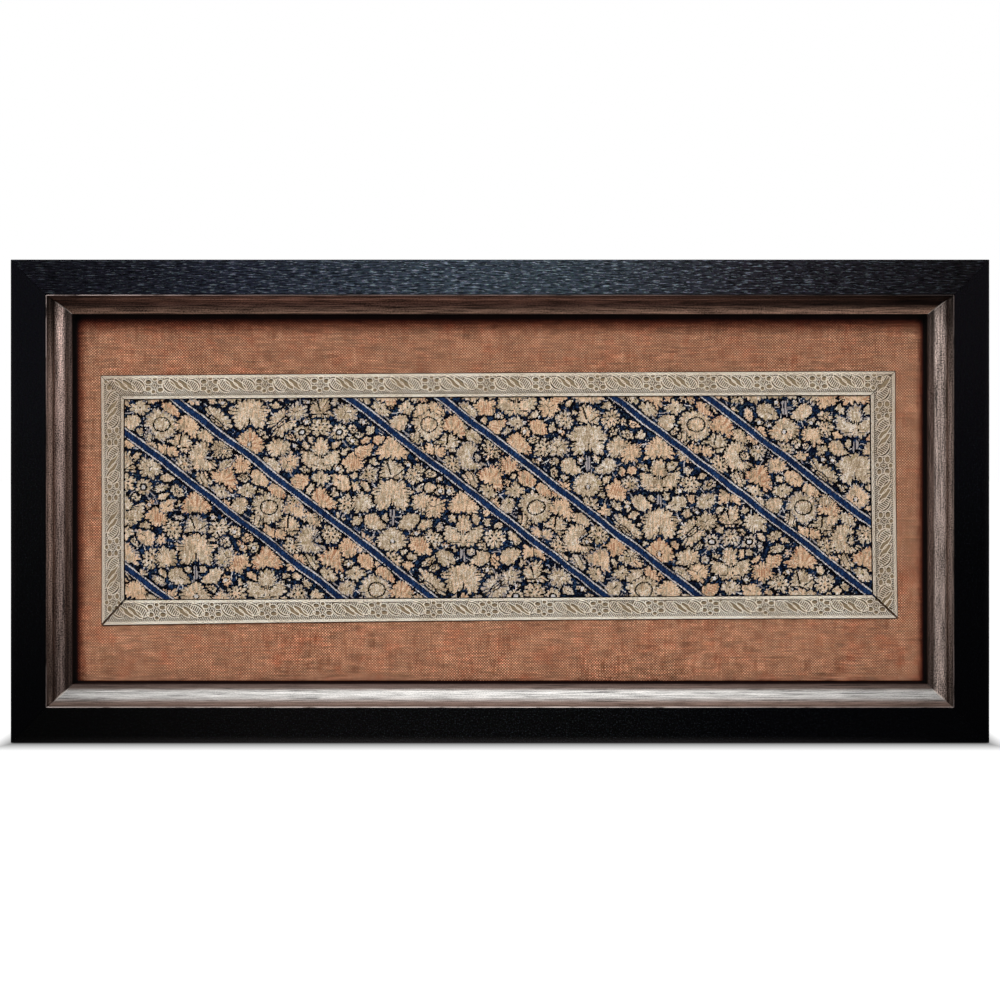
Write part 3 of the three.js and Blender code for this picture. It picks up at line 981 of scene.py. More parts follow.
def birdForm(u, v, w, h, chance):
    # a big hooked leaf
    body = (oval(u + w * 0.12, v - h * 0.02, w * 0.74, h * 0.78) - 1) * h * 0.36
    body = body + 0.9 * (0.5 - np.abs(np.sin(np.arctan2(v, u + w * 0.12) * 4.5)))
    arm = (oval(u - w * 0.08, v + h * 0.25, w * 0.62, h * 0.26) - 1) * h * 0.13
    head = (oval(u + w * 0.02, v - h * 0.36, w * 0.42, h * 0.26) - 1) * h * 0.13
    bite = np.hypot(u - w * 0.17, (v - h * 0.02) * 1.1) - w * 0.18
    edge = np.maximum(np.minimum(np.minimum(body, arm), head), -bite)
    return edge, [((np.sin(u * 2.8) > 0.75) & (np.sin(v * 0.9 + chance * 7) > 0), "glow")]


def podForm(u, v, w, h, chance):
    lines = within(np.abs(v) - w * 0.2, 0.4) & within(u, h * 0.34)
    return petals(u, v, h, w, 2, 0.12), [(lines, "black")]


def lotusForm(u, v, w, h, chance):
    fan = np.arctan2(v + h * 0.42, u * 0.9)
    reach = np.hypot(u / (w * 0.5), (v + h * 0.42) / (h * 0.9))
    edge = np.maximum((reach - 0.72 - 0.28 * np.abs(np.sin(fan * 2.5)) ** 0.7) * w * 0.42,
                      -(v + h * 0.42 + 0.6))
    veins = (np.abs(np.cos(fan * 2.5)) * reach * w * 0.2 < 0.45) & (reach < 1.0) & (reach > 0.2)
    return edge, [((np.sin(fan * 10) > 0.6) & (reach > 0.4), "glow"), (veins, "black")]


def trefoilForm(u, v, w, h, chance):
    parts = [petals(u + side * w * 0.27, v, w * 0.42, h, 3, 0.15) for side in (-1, 1)]
    parts.append(petals(u, v + h * 0.2, w * 0.30, h * 0.75, 3, 0.1))
    seams = within(np.abs(u) - w * 0.1, 0.36) & (v > -h * 0.2)
    return np.minimum.reduce(parts), [(seams, "black")]


def starForm(u, v, w, h, chance):
    # a spread tulip: blades that open from one point, parted by dark lines
    fan = np.arctan2(v + h * 0.34, u)
    reach = np.hypot(u / (w * 0.5), (v + h * 0.34) / (h * 0.86))
    edge = (reach - 1 + 0.26 * np.abs(np.sin(fan * 2.5 + 0.2))) * w * 0.42
    edge = np.maximum(edge, -(v + h * 0.40))
    parting = (np.abs(np.sin(fan * 2.5 + 0.2)) > 0.97) | within(np.sin(fan * 2.5 + 0.2), 0.06)
    lines = parting & (reach > 0.15) & (reach < 0.8) | (within(v + h * 0.32, 0.4) & within(u, w * 0.35))
    return edge, [((np.sin(fan * 12) > 0.6) & (reach > 0.4), "glow"), (lines, "black")]


def bowForm(u, v, w, h, chance):
    edge = np.maximum(np.abs(v) - (0.22 * h + np.abs(u) / w * h * 0.62), np.abs(u) - w / 2
                      + np.abs(v) * 0.3)
    return edge, [(within(u, 0.4) & within(v, h * 0.3), "black")]


def stemForm(u, v, w, h, chance):
    edge = np.maximum(np.abs(u) - 1.5, np.abs(v) - h / 2)
    return edge, [(np.abs(u) > -1, "cord"), (np.abs(u) < 0.42, "navy")]


def sprigForm(u, v, w, h, chance):
    # three small pointed leaves from one foot
    parts = []
    for lean in (-58, 0, 58):
        a, b = turnedBy(u, v + h * 0.42, 90 + lean)
        length = h * (1.0 if lean == 0 else 0.78)
        parts.append(blade(a - length / 2, b, length, w * 0.30))
    return np.minimum.reduce(parts), []


def tinyForm(u, v, w, h, chance):
    if chance < 0.3:
        return pointed(u, v, w * 1.1, h * 1.1, 4, 0.34), []
    if chance < 0.6:
        return blade(u, v, w * 1.45, h * 0.80), []
    return sprigForm(u, v, w * 1.25, h * 1.25, chance)


forms = {
    "bloom": bloomForm, "dots": dotsForm, "ring": ringForm, "ringlet": ringletForm, "palm": palmForm,
    "maple": mapleForm, "crown": crownForm, "onion": onionForm, "quad": quadForm, "leaf": leafletForm,
    "book": bookForm, "bird": birdForm, "pod": podForm, "lotus": lotusForm, "trefoil": trefoilForm,
    "star": starForm, "bow": bowForm, "stem": stemForm, "tiny": tinyForm, "sprig": sprigForm,
}
chartForm = {
    "left": -302.5, "right": 300.5, "top": 86.5, "bottom": -84.0, "grow": 0.55, "gap": 2.0, "rim": 1.2,
    "toothRun": 3.8, "tooth": 2.2, "stripeHalf": 2.3, "room": 3.3, "seed": 41, "spotSeed": 12,
    "spots": 70000, "biggestSpot": 4.2,
}
pitch = needleworkForm["pitch"]
columns = int(round((chartForm["right"] - chartForm["left"]) / pitch))
rows = int(round((chartForm["top"] - chartForm["bottom"]) / pitch))
xs = chartForm["left"] + (np.arange(columns) + 0.5) * pitch
zs = chartForm["bottom"] + (np.arange(rows) + 0.5) * pitch
chartX, chartZ = np.meshgrid(xs, zs)
chance = np.random.default_rng(chartForm["seed"])
speck, fleck = chance.random((rows, columns)), chance.random((rows, columns))


def waves(cellsWide, cellsTall, seed):
    # soft unevenness from -1 to 1
    dice = np.random.default_rng(seed)
    down, over = int(rows / cellsTall) + 3, int(columns / cellsWide) + 3
    knots = dice.uniform(-1, 1, (down, over))
    z, x = np.linspace(0, down - 2.001, rows), np.linspace(0, over - 2.001, columns)
    z0, x0 = z.astype(int)[:, None], x.astype(int)[None, :]
    fz, fx = z[:, None] - z0, x[None, :] - x0
    fz, fx = fz * fz * (3 - 2 * fz), fx * fx * (3 - 2 * fx)
    low = knots[z0, x0] * (1 - fx) + knots[z0, x0 + 1] * fx
    return low * (1 - fz) + (knots[z0 + 1, x0] * (1 - fx) + knots[z0 + 1, x0 + 1] * fx) * fz


cellNames = ["navy", "black", "sand", "peach", "ivory", "blue", "olive", "teal", "cord", "rose", "buff"]
cell = {name: number for number, name in enumerate(cellNames)}
near = np.full((rows, columns), 30.0)
second = np.full((rows, columns), 30.0)
owner = np.full((rows, columns), -1)
placed, centres = [], []
driftX, driftZ = waves(9, 9, 5) * 0.5, waves(9, 9, 6) * 0.5
clouds, uprights = waves(3, 3, 8), waves(1.3, 6, 9)


def stripeField(points):
    # signed distance from a stripe's middle line, plus above it
    best, side = np.full((rows, columns), 1e3), np.zeros((rows, columns))
    for (x0, z0), (x1, z1) in zip(points, points[1:]):
        dx, dz = x1 - x0, z1 - z0
        share = np.clip(((chartX - x0) * dx + (chartZ - z0) * dz) / (dx * dx + dz * dz), 0, 1)
        px, pz = chartX - x0 - share * dx, chartZ - z0 - share * dz
        away = np.hypot(px, pz)
        closer = away < best
        best = np.where(closer, away, best)
        side = np.where(closer, np.sign(dx * pz - dz * px), side)
    return best * side + waves(26, 26, 77) * 0.7


def placeForm(kind, thread, x, z, w, h, turn):
    reach = max(w, h) * 0.62 + 7
    i0, i1 = np.searchsorted(xs, (x - reach, x + reach))
    j0, j1 = np.searchsorted(zs, (z - reach, z + reach))
    if i0 >= i1 or j0 >= j1:
        return
    window = (slice(j0, j1), slice(i0, i1))
    dx, dz = chartX[window] + driftX[window] - x, chartZ[window] + driftZ[window] - z
    u, v = turnedBy(dx, dz, turn)
    luck = (abs(x) * 0.469 + abs(z) * 0.886) % 1
    edge, details = forms[kind](u, v, w, h, luck)
    # narrow dark notches bite into the edge, with a point between each pair
    around = np.arctan2(v / h, u / w)
    teeth = max(5, round(math.pi * (w + h) / 2 / chartForm["toothRun"]))
    saw = np.abs(((around / (2 * math.pi) * teeth + luck) % 1) - 0.5) * 2
    bite = {"stem": 0.0, "leaf": 0.5}.get(kind, 1.0)
    depth = min(chartForm["tooth"], 0.19 * min(w, h)) * bite
    edge = edge + depth * (np.maximum(0, 1 - saw / 0.46) - 0.35 * saw) + (speck[window] - 0.5) * 0.10
    found = edge - chartForm["grow"]
    held, behind = near[window], second[window]
    nearer = found < held
    second[window] = np.where(nearer, held, np.minimum(behind, found))
    near[window] = np.where(nearer, found, held)
    owner[window] = np.where(nearer, len(placed), owner[window])
    placed.append((window, thread, details, luck))
    centres.append((x, z))


def mirrored(kind, turn):
    return 180 - turn if kind in ("leaf", "book", "bird", "pod") else -turn


fall, bandTurn = layoutForm["fall"], math.atan(layoutForm["fall"])
stripeFields = []
for band in layoutForm["bands"]:
    for edge in (-0.5, 0.5):
        crossing = layoutForm["middle"] + band * layoutForm["repeat"] + edge * layoutForm["narrow"]
        reach = layoutForm["reach"]
        ends = [(crossing - reach / fall, reach), (crossing + reach / fall, -reach)]
        stripeFields.append(stripeField(ends))
for field in stripeFields:
    wall = np.abs(field) - chartForm["stripeHalf"] - 1.4
    second = np.where(wall < near, near, np.minimum(second, wall))
    near = np.minimum(near, wall)


def formSize(kind):
    width, height = formSizes[kind]
    return width * layoutForm["plump"], height * layoutForm["plump"]


def layLanes(middle):
    # each lane shares one repeat of the narrow band out evenly
    for unit in layoutForm["units"]:
        for height, lane in narrowLanes:
            for number, (kind, thread, turn) in enumerate(lane):
                along = (unit + (number + 0.5) / len(lane)) * layoutForm["unit"]
                placeForm(kind, thread, middle + along + height * math.sin(bandTurn),
                          height * math.cos(bandTurn) - along * fall, *formSize(kind), turn)


def standPlant(axis, top, plant):
    # forms hang one under another on the stem, each with its pair at the sides
    for kind, thread, (besideKind, besideThread, turn) in plant:
        width, height = formSize(kind)
        besideWidth, besideHeight = formSize(besideKind)
        z = top - height / 2
        placeForm(kind, thread, axis, z, width, height, 0)
        away = width / 2 + besideWidth / 2 + layoutForm["gap"]
        placeForm(besideKind, besideThread, axis - away, z - height / 4, besideWidth, besideHeight, turn)
        placeForm(besideKind, besideThread, axis + away, z - height / 4, besideWidth, besideHeight,
                  mirrored(besideKind, turn))
        top -= height + layoutForm["gap"]


for band in layoutForm["bands"]:
    middle = layoutForm["middle"] + band * layoutForm["repeat"]
    layLanes(middle)
    for stand in layoutForm["stands"]:
        shift = stand * layoutForm["stand"]
        standPlant(middle + layoutForm["repeat"] / 2 + shift, layoutForm["top"] - shift * fall,
                   standingPlants[(stand + band) % len(standingPlants)])

laidOut = len(placed)

# small leaves and blooms wherever there is still room
dice = np.random.default_rng(chartForm["spotSeed"])
for spot in dice.permutation(rows * columns)[:chartForm["spots"]]:
    j, i = divmod(int(spot), columns)
    if near[j, i] > chartForm["room"]:
        size = min(near[j, i] - 0.35, chartForm["biggestSpot"]) * 2
        kind = "tiny" if size < 5.8 else ("dots", "bloom", "leaf", "sprig", "onion")[dice.integers(5)]
        lean = float(dice.choice((-75, -50, -38, -20, 0, 25, 50)))
        placeForm(kind, "s" if dice.random() < 0.85 else "p", xs[i], zs[j], size * 1.35,
                  size * dice.uniform(0.65, 0.9), lean)

chart = np.zeros((rows, columns), np.int8)
# a form fills up to the dark line that parts it from its neighbour
parted = second - near > chartForm["gap"] * (0.9 + 0.2 * fleck)
filled = (near < 0) & (parted | (near < -2.4) & (second > near + 0.5)) & (owner >= 0)
rim = ~filled & (near < chartForm["rim"])
# thin pale stems arch from form to form, seen only where the ground is open
spots = np.array(centres[:laidOut])
stems = np.zeros((rows, columns), bool)
for number, spot in enumerate(spots):
    away = np.hypot(*(spots - spot).T)
    for other in np.argsort(away)[1:5]:
        if 9 < away[other] < 34:
            share = np.linspace(0, 1, int(away[other] * 4))[:, None]
            across = (spots[other] - spot)[::-1] * (1, -1)
            bow = share * (1 - share) * (0.7 if number % 2 else -0.7)
            arch = spot + (spots[other] - spot) * share + across * bow
            i = np.clip(((arch[:, 0] - chartForm["left"]) / pitch).astype(int), 0, columns - 1)
            j = np.clip(((arch[:, 1] - chartForm["bottom"]) / pitch).astype(int), 0, rows - 1)
            stems[j, i] = True
vine = ~filled & stems & (near > 0.6)
vine |= ~filled & (np.abs(near - 1.8) < 0.30) & (second - near > 1.3) & (waves(5, 5, 32) > 0.05)
chart[rim] = cell["black"]
chart[rim & (speck + 0.25 * clouds > 0.72)] = cell["navy"]
chart[vine] = np.where(waves(4, 4, 33) > 0.1, cell["ivory"], cell["cord"])[vine]
chart[~filled & ~rim & ~vine & (speck > 0.93)] = cell["teal"]
padded = np.pad(~filled, 1, mode="edge")
touching = padded[:-2, 1:-1] | padded[2:, 1:-1] | padded[1:-1, :-2] | padded[1:-1, 2:]
for number, (window, thread, details, luck) in enumerate(placed):
    mine = filled[window] & (owner[window] == number)
    warm = uprights[window] + 0.35 * clouds[window] > 0.42 + 0.5 * (luck > 0.5)
    chart[window][mine] = cell[{"s": "sand", "p": "peach", "i": "ivory"}[thread]]
    if thread == "s":
        chart[window][mine & warm & (near[window] < -1.2)] = cell["peach"]
    if thread == "p":
        chart[window][mine & (uprights[window] + 0.5 * clouds[window] < 0.4 * luck - 0.55)] = cell["sand"]
    if luck > 0.85:
        chart[window][mine & touching[window] & (fleck[window] > 0.35)] = cell["cord"]
    for mask, colour in details:
        if colour == "glow":
            glow = cell["rose" if thread == "p" else "peach"]
            chart[window][mask & mine & (uprights[window] > -0.1) & (luck < 0.6)] = glow
        else:
            chart[window][mask & mine] = cell[colour]
sandy = chart == cell["sand"]
chart[sandy & (uprights - 0.3 * clouds > 0.58)] = cell["olive"]
chart[sandy & (uprights + 0.5 * clouds < -0.08)] = cell["buff"]
half = chartForm["stripeHalf"]
frayed = waves(6, 6, 34)
for field in stripeFields:
    t = field + (speck - 0.5) * 0.25
    upper, lower = 0.95 + 0.4 * frayed, 0.65 + 0.3 * waves(9, 9, 35)
    chart[(t > half) & (t < half + upper)] = cell["cord"]
    chart[(t > half) & (t < half + 0.75) & (frayed > -0.3)] = cell["ivory"]
    chart[(t < -half) & (t > -half - lower)] = cell["ivory"]
    chart[(t > half + upper) & (t < half + upper + 0.75) & (frayed > -0.55)] = cell["black"]
    chart[(t < -half - lower) & (t > -half - lower - 0.7) & (frayed < 0.3)] = cell["black"]
    chart[np.abs(t) < half] = cell["blue"]
    chart[(np.abs(t) > half - 0.55) & (np.abs(t) < half)] = cell["black"]

# nothing is worked past the middle of the lap that the braid covers
worked = np.ones((rows, columns), bool)
for side in braidForm["lengths"]:
    first, last = (braidPoint(side, np.array([share]), np.array([hem + 0.06]), True)[0]
                   for share in (0.0, 1.0))
    heading = (last - first) / np.linalg.norm(last - first)
    worked &= (chartX - first[0]) * heading[1] - (chartZ - first[1]) * heading[0] > 0
print("chart ready:", rows, "rows of", columns)


# ---------- stitches, laid by Geometry Nodes at the points of the chart

stitchForm = {
    "length": 1.16, "width": 0.74, "height": 0.26, "lean": 45.0, "blueLean": 52.0, "unruly": 5.0,
    "blockHeight": 0.05, "blockSlant": 0.2, "seed": 77,
}


def namedField(tree, name, kind):
    pairs = (("Name", name),)
    return feed(tree, "GeometryNodeInputNamedAttribute", pairs, data_type=kind).outputs["Attribute"]


def realAndWorn(tree, instances, thread, soften=False):
    # every tree ends so: instances made real, then given their material
    mesh = feed(tree, "GeometryNodeRealizeInstances", ((0, instances),)).outputs[0]
    if soften:
        mesh = feed(tree, "GeometryNodeSetShadeSmooth", ((0, mesh),)).outputs[0]
    return feed(tree, "GeometryNodeSetMaterial", (("Geometry", mesh), ("Material", thread))).outputs[0]


def stitchTree():
    sizes = ("Stitch Length", "Stitch Width", "Stitch Height")
    inputs = [(label, "Float", stitchForm[label.split()[1].lower()] * mm) for label in sizes]
    tree, start, end = newGroup("stitchField", [("Points", "Geometry"), *inputs, ("Thread", "Material")],
                                [("Stitches", "Geometry")], "GeometryNodeTree")
    shape = (("Vertices", 4), ("Radius Top", 0.0), ("Radius Bottom", 0.5), ("Depth", 1.0))
    bead = feed(tree, "GeometryNodeMeshCone", shape, fill_type="NONE").outputs["Mesh"]
    size = feed(tree, "ShaderNodeCombineXYZ", enumerate(start[label] for label in sizes)).outputs[0]
    sized = feed(tree, "GeometryNodeTransform", (("Geometry", bead), ("Scale", size))).outputs[0]
    upright = (("Geometry", sized), ("Rotation", (math.pi / 2, 0, 0)))
    raised = feed(tree, "GeometryNodeTransform", upright).outputs[0]
    pairs = (("Points", start["Points"]), ("Instance", raised),
             ("Rotation", namedField(tree, "lean", "FLOAT_VECTOR")),
             ("Scale", namedField(tree, "plump", "FLOAT_VECTOR")))
    laid = feed(tree, "GeometryNodeInstanceOnPoints", pairs).outputs[0]
    join(realAndWorn(tree, laid, start["Thread"], soften=True), end["Stitches"])
    return tree


def socketId(tree, label):
    items = tree.interface.items_tree
    return next(item.identifier for item in items if item.name == label and item.in_out == "INPUT")


def realized(carrier, tree, name, **values):
    modifier = carrier.modifiers.new("build", "NODES")
    modifier.node_group = tree
    for label, value in values.items():
        modifier[socketId(tree, label.replace("_", " "))] = value
    bpy.context.view_layer.update()
    settled = carrier.evaluated_get(bpy.context.evaluated_depsgraph_get())
    mesh = bpy.data.meshes.new_from_object(settled)
    mesh.name = name
    carrier.modifiers.remove(modifier)
    bpy.data.objects.remove(carrier)
    return mesh


def pointCarrier(name, place, lean, plump, tone):
    mesh = bpy.data.meshes.new(name)
    mesh.vertices.add(len(place))
    mesh.vertices.foreach_set("co", place.astype(np.float32).ravel())
    addAttribute(mesh, "lean", "FLOAT_VECTOR", lean)
    addAttribute(mesh, "plump", "FLOAT_VECTOR", plump)
    addAttribute(mesh, "tone", "FLOAT", tone)
    return newPiece(name, mesh)


def silk(name, stops):
    material, tree, shader = newMaterial(name, 0.6, 0.0, 0.04)
    tone = addNode(tree, "ShaderNodeAttribute", attribute_name="tone").outputs["Fac"]
    place = objectVector(tree)
    wearing = noiseAt(place, 60, 3, 0.6)
    fibre = noiseAt(place, 5200, 2, 0.6, (1.0, 1.0, 0.55))
    shade = plus(tone, times(minus(wearing, 0.5), 0.45))
    colour = ramp(shade, stops)
    # every few stitches the dye lot differs, greener or pinker
    dye = mathNode("FRACT", times(tone, 53.0))
    colour = blend(times(maskBetween(dye, 0.62, 1.0), 0.32), colour, tinted(colour, srgb(234, 228, 210)))
    colour = blend(times(maskBetween(dye, 0.38, 0.0), 0.32), colour, tinted(colour, srgb(228, 178, 160)))
    colour = blend(times(maskBetween(fibre, 0.62, 0.3), 0.12), colour, srgb(40, 30, 24))
    finishWith(shader, colour, fibre, 0.25, 0.0001)
    return material


# the one or two colours of the chart that a thread covers, and its tones from dark to pale
threads = {
    "sand": (["sand"], [(0.0, (112, 90, 64)), (0.27, (170, 147, 118)), (0.6, (217, 200, 176)),
                        (1.0, (254, 252, 250))]),
    "buff": (["buff"], [(0.0, (108, 88, 64)), (0.27, (166, 144, 116)), (0.6, (214, 198, 174)),
                        (1.0, (252, 248, 242))]),
    "olive": (["olive", "teal"], [(0.0, (50, 76, 96)), (0.14, (50, 76, 96)), (0.16, (120, 104, 74)),
                                  (0.6, (168, 150, 116)), (1.0, (196, 178, 144))]),
    "peach": (["peach", "rose"], [(0.0, (184, 136, 104)), (0.3, (202, 164, 130)), (0.65, (228, 198, 166)),
                                  (1.0, (248, 230, 208))]),
    "ivory": (["ivory", "cord"], [(0.0, (166, 162, 162)), (0.35, (206, 202, 202)), (1.0, (246, 246, 248))]),
    "blue": (["blue"], [(0.0, (8, 18, 36)), (0.45, (15, 36, 74)), (0.75, (28, 57, 102)),
                        (1.0, (46, 78, 124))]),
}
field = stitchTree()
stitchDice = np.random.default_rng(stitchForm["seed"])
stitchPieces = []
for name, (cells, stops) in threads.items():
    picked = worked & np.isin(chart, [cell[colour] for colour in cells])
    j, i = np.nonzero(picked)
    count = len(j)
    x, z = xs[i] + stitchDice.normal(0, 0.04, count), zs[j] + stitchDice.normal(0, 0.04, count)
    depth = clothFront(x, z) - 0.5 * stitchForm["height"]
    place = np.stack((x * mm, frontY + depth * mm, z * mm), 1)
    lean = np.zeros((count, 3))
    lean[:, 1] = -np.radians(stitchForm["lean"] + stitchDice.normal(0, stitchForm["unruly"], count))
    if name == "blue":
        # the stripes are worked with the slant the other way
        lean[:, 1] = np.radians(stitchForm["blueLean"] + stitchDice.normal(0, stitchForm["unruly"], count))
    plump = np.ones((count, 3)) * stitchDice.uniform(0.92, 1.1, (count, 1))
    tone = 0.5 + stitchDice.normal(0, 0.15, count) + 0.1 * clouds[j, i] + 0.28 * uprights[j, i]
    # the second colour of a thread is the low end of its tones
    tone = np.clip(tone, 0.2, 1.0)
    for extra in cells[1:]:
        tone[chart[j, i] == cell[extra]] = 0.06
    carrier = pointCarrier(f"{name}_points", place, lean, plump, tone)
    mesh = realized(carrier, field, f"stitches_{name}", Thread=silk(f"silk_{name}", stops))
    piece = newPiece(f"stitches_{name}", mesh)
    flatMap(mesh, (clothLow[0], clothLow[2]), clothHigh[0] - clothLow[0])
    stitchPieces.append(piece)
    print("stitches", name, count)

# the black outlines lie flat between the flowers, in short runs
blackCells = worked & (chart == cell["black"])
points, faces = [], []
slant = stitchForm["blockSlant"]
for j in range(rows):
    row = np.flatnonzero(blackCells[j])
    if not len(row):
        continue
    for run in np.split(row, np.flatnonzero(np.diff(row) > 1) + 1):
        x0, x1 = xs[run[0]] - pitch / 2, xs[run[-1]] + pitch / 2
        z0, z1 = zs[j] - pitch / 2, zs[j] + pitch / 2
        y = clothFront(np.array([x0, x1]), zs[j]) - stitchForm["blockHeight"]
        k = len(points)
        points += [(x0 - slant, y[0], z0), (x1 - slant, y[1], z0), (x1 + slant, y[1], z1),
                   (x0 + slant, y[0], z1)]
        faces.append((k, k + 1, k + 2, k + 3))
place = np.array(points) * mm
place[:, 1] += frontY
blackMesh = newMesh("stitches_black", place, faces)


def blackWool():
    material, tree, shader = newMaterial("wool_black", 0.85, 0.0, 0.02)
    tent, shade = tentShade(tree, objectVector(tree))
    colour = ramp(shade, [(0.0, (2, 2, 4)), (0.7, (9, 8, 11)), (1.0, (28, 24, 27))])
    finishWith(shader, colour, tent, 0.7, 0.0003)
    return material


blackMesh.materials.append(blackWool())
flatMap(blackMesh, (clothLow[0], clothLow[2]), clothHigh[0] - clothLow[0])
stitchPieces.append(newPiece("stitches_black", blackMesh))
for piece in stitchPieces:
    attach(piece, "root")
print("stitches ready")


# ---------- galloon braid: a brown woven band with pale gimp threads raised on it

lap = braidForm["width"] - braidForm["lap"]
bandForm = {
    "across": (0.0, 0.3, *range(1, 19), 19.1, 19.5, 20.0), "cut": 1.1,
    "outerBase": clothDepth + 1.0, "innerBase": clothDepth - 0.3,
}
highBase, lowBase = bandForm["outerBase"], bandForm["innerBase"]
bandTop = {0.0: highBase - 0.55, 0.3: highBase - 0.8, lap - 3.0: highBase - 1.2, lap: lowBase - 0.8,
           19.7: lowBase - 0.8, 20.0: lowBase - 0.6}
bandUnder = {0.0: highBase, lap - 1.2: highBase, lap - 0.4: lowBase, 20.0: lowBase}


def stepped(table, across):
    keys = sorted(table)
    return np.interp(across, keys, [table[k] for k in keys])


def edgeLength(side, across):
    ends = braidPoint(side, np.array([0.0, 1.0]), np.array([across, across]))
    return float(np.linalg.norm(ends[1] - ends[0]))


def bandMesh(side):
    across = np.array(bandForm["across"]) / braidForm["width"]
    steps = int(edgeLength(side, 0.5) / bandForm["cut"])
    ss, tt = np.meshgrid(np.linspace(0, 1, steps + 1), across, indexing="ij")
    front = stepped(bandTop, tt * braidForm["width"]) + 0.05 * np.sin(ss * 61) * np.sin(tt * 5)
    mesh = slabMesh(f"braid_{side}_band", braidPoint(side, ss, tt), front,
                    stepped(bandUnder, tt * braidForm["width"]))
    # run: how far from a slit mitre (x), from the outer edge (y), and how sunk in the pattern, with a
    # painted shadow under each hollow's upper rim (z)
    outer, inner = edgeLength(side, 0.0), edgeLength(side, 1.0)
    along = ss * (outer - (outer - inner) * tt) + (outer - inner) / 2 * tt
    slits = [gimpForm["slit"][corner] > 0.5 for corner in braidForm["lengths"][side][:2]]
    length = edgeLength(side, 0.5)
    values = np.zeros((len(mesh.vertices), 3), np.float32)
    fromEnds = np.minimum(ss * length + (0 if slits[0] else 50), (1 - ss) * length + (0 if slits[1]
            else 50))
    values[:, 0] = np.tile(fromEnds.ravel() * mm, 2)
    values[:, 1] = np.tile(tt.ravel() * braidForm["width"] * mm, 2)
    level = tt * braidForm["width"] - 10 - gimpForm["shift"][side]
    values[:, 2] = np.tile(hollowAndShadow(side, gimpForm["start"][side] - along, level).ravel(), 2)
    addAttribute(mesh, "run", "FLOAT_VECTOR", values)
    return mesh


# one repeat of the gimp, measured from the middle of its flower: x along the band, y across it
gimpForm = {
    "petals": ((0.5, 4.9, 2.0, 1.9), (-4.8, 3.4, 2.7, 2.2), (-4.7, -2.9, 2.8, 2.3), (4.9, 2.6, 2.8, 2.2),
               (5.0, -3.0, 2.8, 2.3), (-0.1, -5.5, 2.1, 1.9), (0.1, -0.3, 1.3, 1.7)),
    "leaves": ((13.4, 0.4, 5.9, 3.5, -42, -1), (-12.2, -0.2, 5.9, 3.5, -42, 1)), "crescent": 1.9,
    "hollows": ((20.2, -0.4), (26.9, -1.0)), "hollow": (7.6, 2.2, -47),
    "hatchLean": 59.0, "hatch": 1.48, "leafHatch": 1.9, "field": (2.8, 17.0),
    "edges": (0.95, 1.7, 2.45, 17.5, 18.3, 19.05), "cord": 1.05, "fine": 0.84,
    "slit": {"topLeft": 0.12, "topRight": 0.15, "bottomRight": 0.6, "bottomLeft": 0.6},
    "shift": {"top": -1.2, "bottom": 1.0, "left": 0.1, "right": -0.2},
    "start": {"top": -0.8, "bottom": 17.0, "left": 17.9, "right": 31.3},
}


def loop(x, y, a, b, turn, first=0, last=360, steps=9):
    angles = np.radians(np.linspace(first, last, steps))
    u, v = turnedBy(a * np.cos(angles), b * np.sin(angles), -turn)
    return np.stack((x + u, y + v), 1)


def lens(x, y, a, b, turn, sign, steps=9):
    share = np.linspace(-1, 1, steps)
    u, v = turnedBy(a * share, sign * b * (1 - share ** 4) + 0.9 * np.sin(share * 2.6), -turn)
    return np.stack((x + u, y + v), 1)


def patternAt(x, y):
    # 0 ground, 1 inside a hatched leaf, 2 in a hollow, 3 on a leaf outline, where no hatching runs
    form, repeat = gimpForm, braidForm["repeat"]
    x = x - repeat * np.round(x / repeat)
    level = np.zeros(np.shape(x), int)
    for step in (-repeat, 0, repeat):
        for px, py, a, b, turn, side in form["leaves"]:
            u, v = turnedBy(x + step - px, y - py, turn)
            inner = np.hypot(u / (a + 0.2), v / (b + 0.3))
            level[inner < 0.9] = 1
            level[(np.hypot(u / (a + 0.9), v / (b + form["crescent"])) < 1) & (inner > 1)
                  & (v * side > 0)] = 2
            level[np.abs(inner - 1) < 0.10] = 3
        for px, py, a, b in form["petals"]:
            level[np.hypot((x + step - px) / (a + 0.35), (y - py) / (b + 0.35)) < 1] = 2
        for px, py in form["hollows"]:
            u, v = turnedBy(x + step - px, y - py, form["hollow"][2])
            u, v = u / form["hollow"][0], v - 0.9 * np.sin(u / form["hollow"][0] * 2.6)
            level[(np.abs(u) < 1) & (np.abs(v) < form["hollow"][1] * (1 - u ** 4) + 0.4)] = 2
    return level


def hollowAndShadow(side, x, y):
    # how sunk the band looks: 0 ground, 1 under a leaf's hatching, 2 in a hollow, up to 3 in the painted
    # shadow beneath its upper rim
    level = patternAt(x, y)
    depth = np.minimum(level, 2).astype(float)
    rise = {"top": (0.25, -1.0), "right": (1.0, 0.25), "bottom": (-0.25, 1.0), "left": (-1.0, -0.25)}[side]
    # painted shadow: a hollow darkens where the band a little above it lies outside the hollow
    for far, more in ((0.9, 0.55), (1.9, 0.45)):
        depth += (level == 2) * (patternAt(x + far * rise[0], y + far * rise[1]) != 2) * more
    return depth


